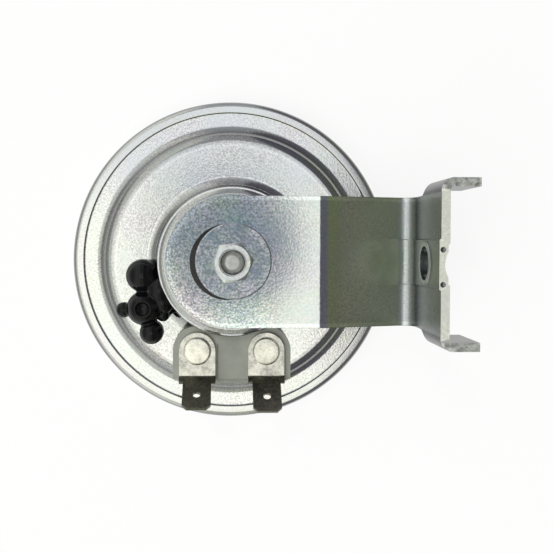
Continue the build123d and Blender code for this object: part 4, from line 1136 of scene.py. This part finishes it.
class HORN_OT_terminals(bpy.types.Operator):
    """Builds the two blade terminals as bent sheet, and their rivets"""

    bl_idname = "horn.terminals"
    bl_label = "Terminals and rivets"

    def execute(self, context):
        sizes = context.scene.horn_terminals
        half = sizes.pitch / 2
        self.terminal("left", -half, sizes.left_angle, sizes)
        self.terminal("right", half, sizes.right_angle, sizes)
        self.rivet("left", -half, sizes, context.scene.horn_shell.steps // 2)
        self.rivet("right", half, sizes, context.scene.horn_shell.steps // 2)
        return {"FINISHED"}

    def terminal(self, side, across, angle, sizes):
        """One terminal, made lying along X, then turned to point forwards and set under its rivet."""
        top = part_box("terminal_insulator")[1].z + sizes.sheet
        wide, end_spare = sizes.width / 2, mm(0.5)
        narrow = sizes.blade_width / 2
        bend, reach, neck, blade = mm(0.5), mm(5.5), mm(1.3), mm(7.9)
        bend_reach = bend * math.tan(angle / 2)
        along = Vector((math.cos(angle), 0, math.sin(angle)))
        foot = Vector((reach + bend_reach, 0, top)) + along * bend_reach
        shoulder = foot + along * neck
        tip = shoulder + along * blade
        piece = sheet_strip("terminal_" + side + "_blade", [
            (-wide - end_spare, top, 0.0), (reach + bend_reach, top, bend),
            (shoulder.x, shoulder.z, 0.0), (tip.x, tip.z, 0.0)], [-wide, -narrow, narrow, wide])
        pick(piece, "FACE", lambda f: (
            (f.calc_center_median() - shoulder).dot(along) > 0
            and abs(f.calc_center_median().y) > narrow))
        bpy.ops.mesh.delete(type="FACE")
        pick(piece, "VERT", lambda v: (v.co - tip).dot(along) > -TOUCHING)
        tip_chamfer = mm(1.0)
        bpy.ops.mesh.bevel(offset=tip_chamfer, segments=1, affect="VERTICES", clamp_overlap=False)
        thicken(piece, sizes.sheet)
        keep = block("keep", (0, -mm(6), 0), (mm(30), mm(6), mm(60)))
        combine(keep, cylinder("round_end", wide, mm(15), mm(30), sides=96), "UNION")
        combine(piece, keep, "INTERSECT")
        combine(piece, cylinder("bore", mm(1.55), mm(15), mm(25), sides=48), "DIFFERENCE")
        latch_radius, latch_from_tip = mm(0.85), mm(4.0)
        drill = cylinder("drill", latch_radius, -mm(3), mm(3), sides=32)
        settle(drill, (0, -angle, 0), tip - along * latch_from_tip)
        combine(piece, drill, "DIFFERENCE")
        round_edges(piece, mm(0.07), 2)
        settle(piece, (0, 0, -math.pi / 2), (across, sizes.rivet_y, 0))
        finish_piece(piece, tin_finish(), "terminal_" + side)
        # The blades take the same tin darkened and browned, as painted shade
        blade_start = sizes.rivet_y - reach - mm(0.1)
        coat(piece, 1, blade_painted_shade_finish(), lambda f: f.calc_center_median().y < blade_start)

    def rivet(self, side, across, sizes, steps):
        """One terminal rivet: a flat head, a shank and its set tail inside."""
        low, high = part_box("rivet_" + side)
        shank, tail, head = mm(1.5), mm(2.7), mm(3.1)
        under = high.z - mm(1.0)
        tail_top = low.z + mm(0.8)
        piece = turned("rivet_" + side + "_head", [
            (0.0, low.z, 0.0), (tail, low.z, mm(0.3)), (tail, tail_top, mm(0.1)),
            (shank, tail_top, 0.0), (shank, under, 0.0), (head, under, mm(0.06)),
            (head, high.z, mm(0.5)), (0.0, high.z, 0.0)],
            steps, closed=False, place=(across, sizes.rivet_y))
        finish_piece(piece, rivet_finish(), "rivet_" + side)


class HORN_OT_sealant(bpy.types.Operator):
    """Builds the set sealant as drops that have run together over the adjuster"""

    bl_idname = "horn.sealant"
    bl_label = "Sealant"

    def execute(self, context):
        low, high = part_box("adjuster_screw")
        screw = (low + high) / 2
        low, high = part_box("breaker_rivet")
        rivet = Vector(((low.x + high.x) / 2, (low.y + high.y) / 2, 0))
        rivet -= rivet.normalized() * mm(1.0)
        level = context.scene.horn_shell.plateau_top + mm(1.0)
        main_drop, main_rise = mm(3.95), mm(0.2)
        # Each drop: to the right of the screw, up from it, above the level, and its radius
        drops = [(rivet.x - screw.x, rivet.y - screw.y, 0.0, mm(3.8)), (0.0, 0.0, main_rise, main_drop)]
        drops += [(mm(right), mm(up), mm(rise), mm(radius)) for right, up, rise, radius in (
            (-4.7, -0.5, -0.5, 1.8), (1.7, -5.6, 0.0, 2.75), (3.6, 4.0, 0.2, 3.2),
            (4.3, 1.2, 0.0, 2.6), (4.3, -1.7, -0.4, 1.5))]
        piece = join([
            ball("sealant_drop", radius, (screw.x + right, screw.y + up, level + rise))
            for right, up, rise, radius in drops])
        piece.name = "sealant_drops"
        apply_modifier(piece, "REMESH", mode="VOXEL", voxel_size=mm(0.16))
        crater_rise = main_rise + main_drop + mm(1.75 - 1.3)
        crater = ball("crater", mm(1.9), (screw.x, screw.y, level + crater_rise))
        combine(piece, crater, "DIFFERENCE")
        under = block("under", (-mm(40), -mm(40), mm(5)), (0, mm(10), level - mm(1.0)))
        combine(piece, under, "DIFFERENCE")
        apply_modifier(piece, "REMESH", mode="VOXEL", voxel_size=mm(0.14))
        apply_modifier(piece, "SMOOTH", iterations=14, factor=0.7)
        finish_piece(piece, sealant_finish(), "sealant", 180.0)
        return {"FINISHED"}


class HORN_OT_inner_finishes(bpy.types.Operator):
    """Gives the inner pieces their finishes"""

    bl_idname = "horn.inner_finishes"
    bl_label = "Inner pieces"

    def execute(self, context):
        steel = turned_steel_finish()
        fibre = fibre_finish()
        spring = plain_finish(
            "Spring steel", (0.40, 0.41, 0.42), (0.52, 0.53, 0.54), 1.0, 0.2, 0.36, 240.0)
        board = plain_finish(
            "Gasket board", (0.20, 0.15, 0.09), (0.32, 0.24, 0.15), 0.0, 0.6, 0.8, 500.0, 0.4)
        black = plain_finish(
            "Black nylon", (0.02, 0.02, 0.02), (0.045, 0.045, 0.045), 0.0, 0.35, 0.5)
        copper = plain_finish(
            "Copper wire", (0.50, 0.20, 0.10), (0.64, 0.28, 0.15), 1.0, 0.25, 0.4, 900.0, 0.4)
        brass = plain_finish(
            "Brass strip", (0.55, 0.42, 0.18), (0.66, 0.52, 0.25), 1.0, 0.25, 0.42)
        contact = plain_finish(
            "Contact metal", (0.45, 0.44, 0.42), (0.60, 0.58, 0.55), 1.0, 0.3, 0.5)
        finishes = {
            "armature": steel, "tone_disc_spacer": steel, "tone_disc_washer": steel,
            "adjuster_screw": steel, "tone_disc": spring, "diaphragm": spring,
            "breaker_spring": spring, "front_gasket": board, "rear_gasket": board,
            "coil_bobbin": black, "breaker_base": black, "breaker_spacer": black,
            "breaker_ring": black, "breaker_washer": fibre, "coil_winding": copper,
            "coil_lead": copper, "breaker_lead": copper, "contact_strip": brass,
            "coil_tag": brass, "breaker_rivet": brass, "fixed_contact_arm": brass,
            "moving_contact": contact, "fixed_contact": contact,
            "terminal_inner_plate": nylon_finish(),
        }
        for name, finish in finishes.items():
            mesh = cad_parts[name].data
            mesh.materials.clear()
            mesh.materials.append(finish)
        return {"FINISHED"}


# Studio

def sky():
    """A soft studio overhead: a bright lid, dark to the right, paler to the left and front."""
    world = bpy.data.worlds.new("Studio")
    world.use_nodes = True
    bpy.context.scene.world = world
    tree = world.node_tree
    place = node(tree, "ShaderNodeTexCoord")
    axes = node(tree, "ShaderNodeSeparateXYZ", {"Vector": place.outputs["Generated"]})

    def blend(axis, start, end, under, over):
        """Puts a colour over another past a place on an axis."""
        colours = [colour4(value) if isinstance(value, tuple) else value for value in (under, over)]
        return mixed(tree, span(tree, axes.outputs[axis], start, end, smooth=True), *colours)

    lid = blend("Y", 0.02, 0.13, (1.44, 1.44, 1.33), (1.02, 1.04, 1.07))
    colour = blend("Y", -0.10, -0.32, (0.46, 0.47, 0.49), (0.56, 0.58, 0.50))
    colour = blend("X", -0.10, -0.28, colour, (0.92, 0.93, 0.88))
    colour = blend("X", -0.60, -0.85, colour, (0.42, 0.43, 0.40))
    colour = blend("Z", 0.950, 0.974, colour, lid)
    colour = blend("Z", 0.9935, 0.9975, colour, (0.36, 0.41, 0.46))
    colour = blend("X", 0.13, 0.20, colour, (0.150, 0.147, 0.172))
    colour = blend("X", 0.50, 0.60, colour, (0.156, 0.166, 0.132))
    tree.links.new(colour, tree.nodes["Background"].inputs["Color"])


def floor_finish(colour):
    """A pale floor that stays white behind the object and keeps some of its shadow."""
    material = bpy.data.materials.new("Studio floor")
    material.use_nodes = True
    tree = material.node_tree
    tree.nodes.remove(tree.nodes["Principled BSDF"])
    matt = node(tree, "ShaderNodeBsdfDiffuse", {"Color": colour4(colour)})
    glow = node(tree, "ShaderNodeEmission", {"Color": (1.0, 1.0, 1.0, 1.0), "Strength": 1.0})
    rays = node(tree, "ShaderNodeLightPath")
    seen = number(tree, "MAXIMUM", rays.outputs["Is Camera Ray"], rays.outputs["Is Glossy Ray"])
    seen = number(tree, "MAXIMUM", seen, rays.outputs["Is Transmission Ray"])
    glow_share = 0.85
    share = number(tree, "MULTIPLY", seen, glow_share)
    mix = node(tree, "ShaderNodeMixShader", {0: share, 1: matt.outputs[0], 2: glow.outputs[0]})
    tree.links.new(mix.outputs[0], tree.nodes["Material Output"].inputs["Surface"])
    return material


def lamp(name, place, size, power, colour):
    """A square soft lamp that looks at the object and isn't seen, in mirrors either."""
    clear_selection()
    bpy.ops.object.light_add(type="AREA", location=place)
    made = bpy.context.active_object
    made.name = name
    made.data.size = size
    made.data.energy = power
    made.data.color = colour
    made.rotation_euler = (-Vector(place)).to_track_quat("-Z", "Y").to_euler()
    made.visible_camera = False
    made.visible_glossy = False


class HORN_OT_studio(bpy.types.Operator):
    """Sets the floor, the soft light and the camera"""

    bl_idname = "horn.studio"
    bl_label = "Studio"

    def execute(self, context):
        sky()
        clear_selection()
        bpy.ops.mesh.primitive_plane_add(size=12.0, location=(0, 0, 0))
        ground = adopt("studio_floor")
        bpy.ops.object.mode_set(mode="EDIT")
        bpy.ops.mesh.select_all(action="SELECT")
        bpy.ops.mesh.subdivide(number_cuts=3)
        clear_selection()
        ground.data.materials.append(floor_finish(context.scene.horn_colours.floor))
        lamp("soft_fill", (-0.35, -0.30, 0.80), 0.70, 5.0, (1.0, 1.0, 0.98))
        lamp("window", (-0.12, 0.20, 0.55), 0.05, 0.35, (1.0, 1.0, 1.0))
        self.camera(context)
        context.scene.view_settings.view_transform = "Standard"
        return {"FINISHED"}

    def camera(self, context):
        """The photograph's place and angle: from behind the horn, a little off its axis."""
        clear_selection()
        bpy.ops.object.camera_add()
        camera = context.active_object
        camera.name = "photo_camera"
        right_angle, down_angle, roll = 0.0366, 0.02286, 0.00329
        place = Vector((mm(-1.4918), mm(4.3705), mm(198.291)))
        ahead = Vector((math.tan(right_angle), -math.tan(down_angle), -1.0)).normalized()
        up = (Vector((0, 1, 0)) - ahead * ahead.y).normalized()
        across = ahead.cross(up)
        rolled_across = across * math.cos(roll) + up * math.sin(roll)
        rolled_up = up * math.cos(roll) - across * math.sin(roll)
        turn = Matrix((rolled_across, rolled_up, -ahead)).transposed()
        camera.matrix_world = Matrix.Translation(place) @ turn.to_4x4()
        camera.data.sensor_width = 36.0
        camera.data.lens = 51.43
        camera.data.shift_x = 0.04
        camera.data.shift_y = -0.03
        camera.data.clip_start = mm(5)
        camera.data.dof.use_dof = False
        context.scene.camera = camera


class HORN_PT_panel(bpy.types.Panel):
    """Lists the pieces, their sizes and the studio"""

    bl_label = "Disc horn"
    bl_idname = "HORN_PT_panel"
    bl_space_type = "VIEW_3D"
    bl_region_type = "UI"
    bl_category = "Horn"

    def draw(self, context):
        layout = self.layout
        for group in (context.scene.horn_shell, context.scene.horn_bracket,
                      context.scene.horn_terminals, context.scene.horn_colours):
            box = layout.box()
            for name in group.__annotations__:
                box.prop(group, name)
        for operator in OPERATORS:
            layout.operator(operator.bl_idname)


PROPERTIES = (HornShellSizes, HornBracketSizes, HornTerminalSizes, HornColours)
OPERATORS = (
    HORN_OT_housing, HORN_OT_front_cover, HORN_OT_bracket, HORN_OT_fasteners, HORN_OT_insulator,
    HORN_OT_terminals, HORN_OT_sealant, HORN_OT_inner_finishes, HORN_OT_studio)


def register():
    for made in PROPERTIES + OPERATORS + (HORN_PT_panel,):
        bpy.utils.register_class(made)
    bpy.types.Scene.horn_shell = PointerProperty(type=HornShellSizes)
    bpy.types.Scene.horn_bracket = PointerProperty(type=HornBracketSizes)
    bpy.types.Scene.horn_terminals = PointerProperty(type=HornTerminalSizes)
    bpy.types.Scene.horn_colours = PointerProperty(type=HornColours)


def unregister():
    for name in ("horn_shell", "horn_bracket", "horn_terminals", "horn_colours"):
        delattr(bpy.types.Scene, name)
    for made in reversed(PROPERTIES + OPERATORS + (HORN_PT_panel,)):
        bpy.utils.unregister_class(made)


def main():
    register()
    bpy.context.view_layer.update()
    bpy.ops.horn.housing()
    bpy.ops.horn.front_cover()
    bpy.ops.horn.bracket()
    bpy.ops.horn.fasteners()
    bpy.ops.horn.insulator()
    bpy.ops.horn.terminals()
    bpy.ops.horn.sealant()
    bpy.ops.horn.inner_finishes()
    bpy.ops.horn.studio()


if __name__ == "__main__":
    main()
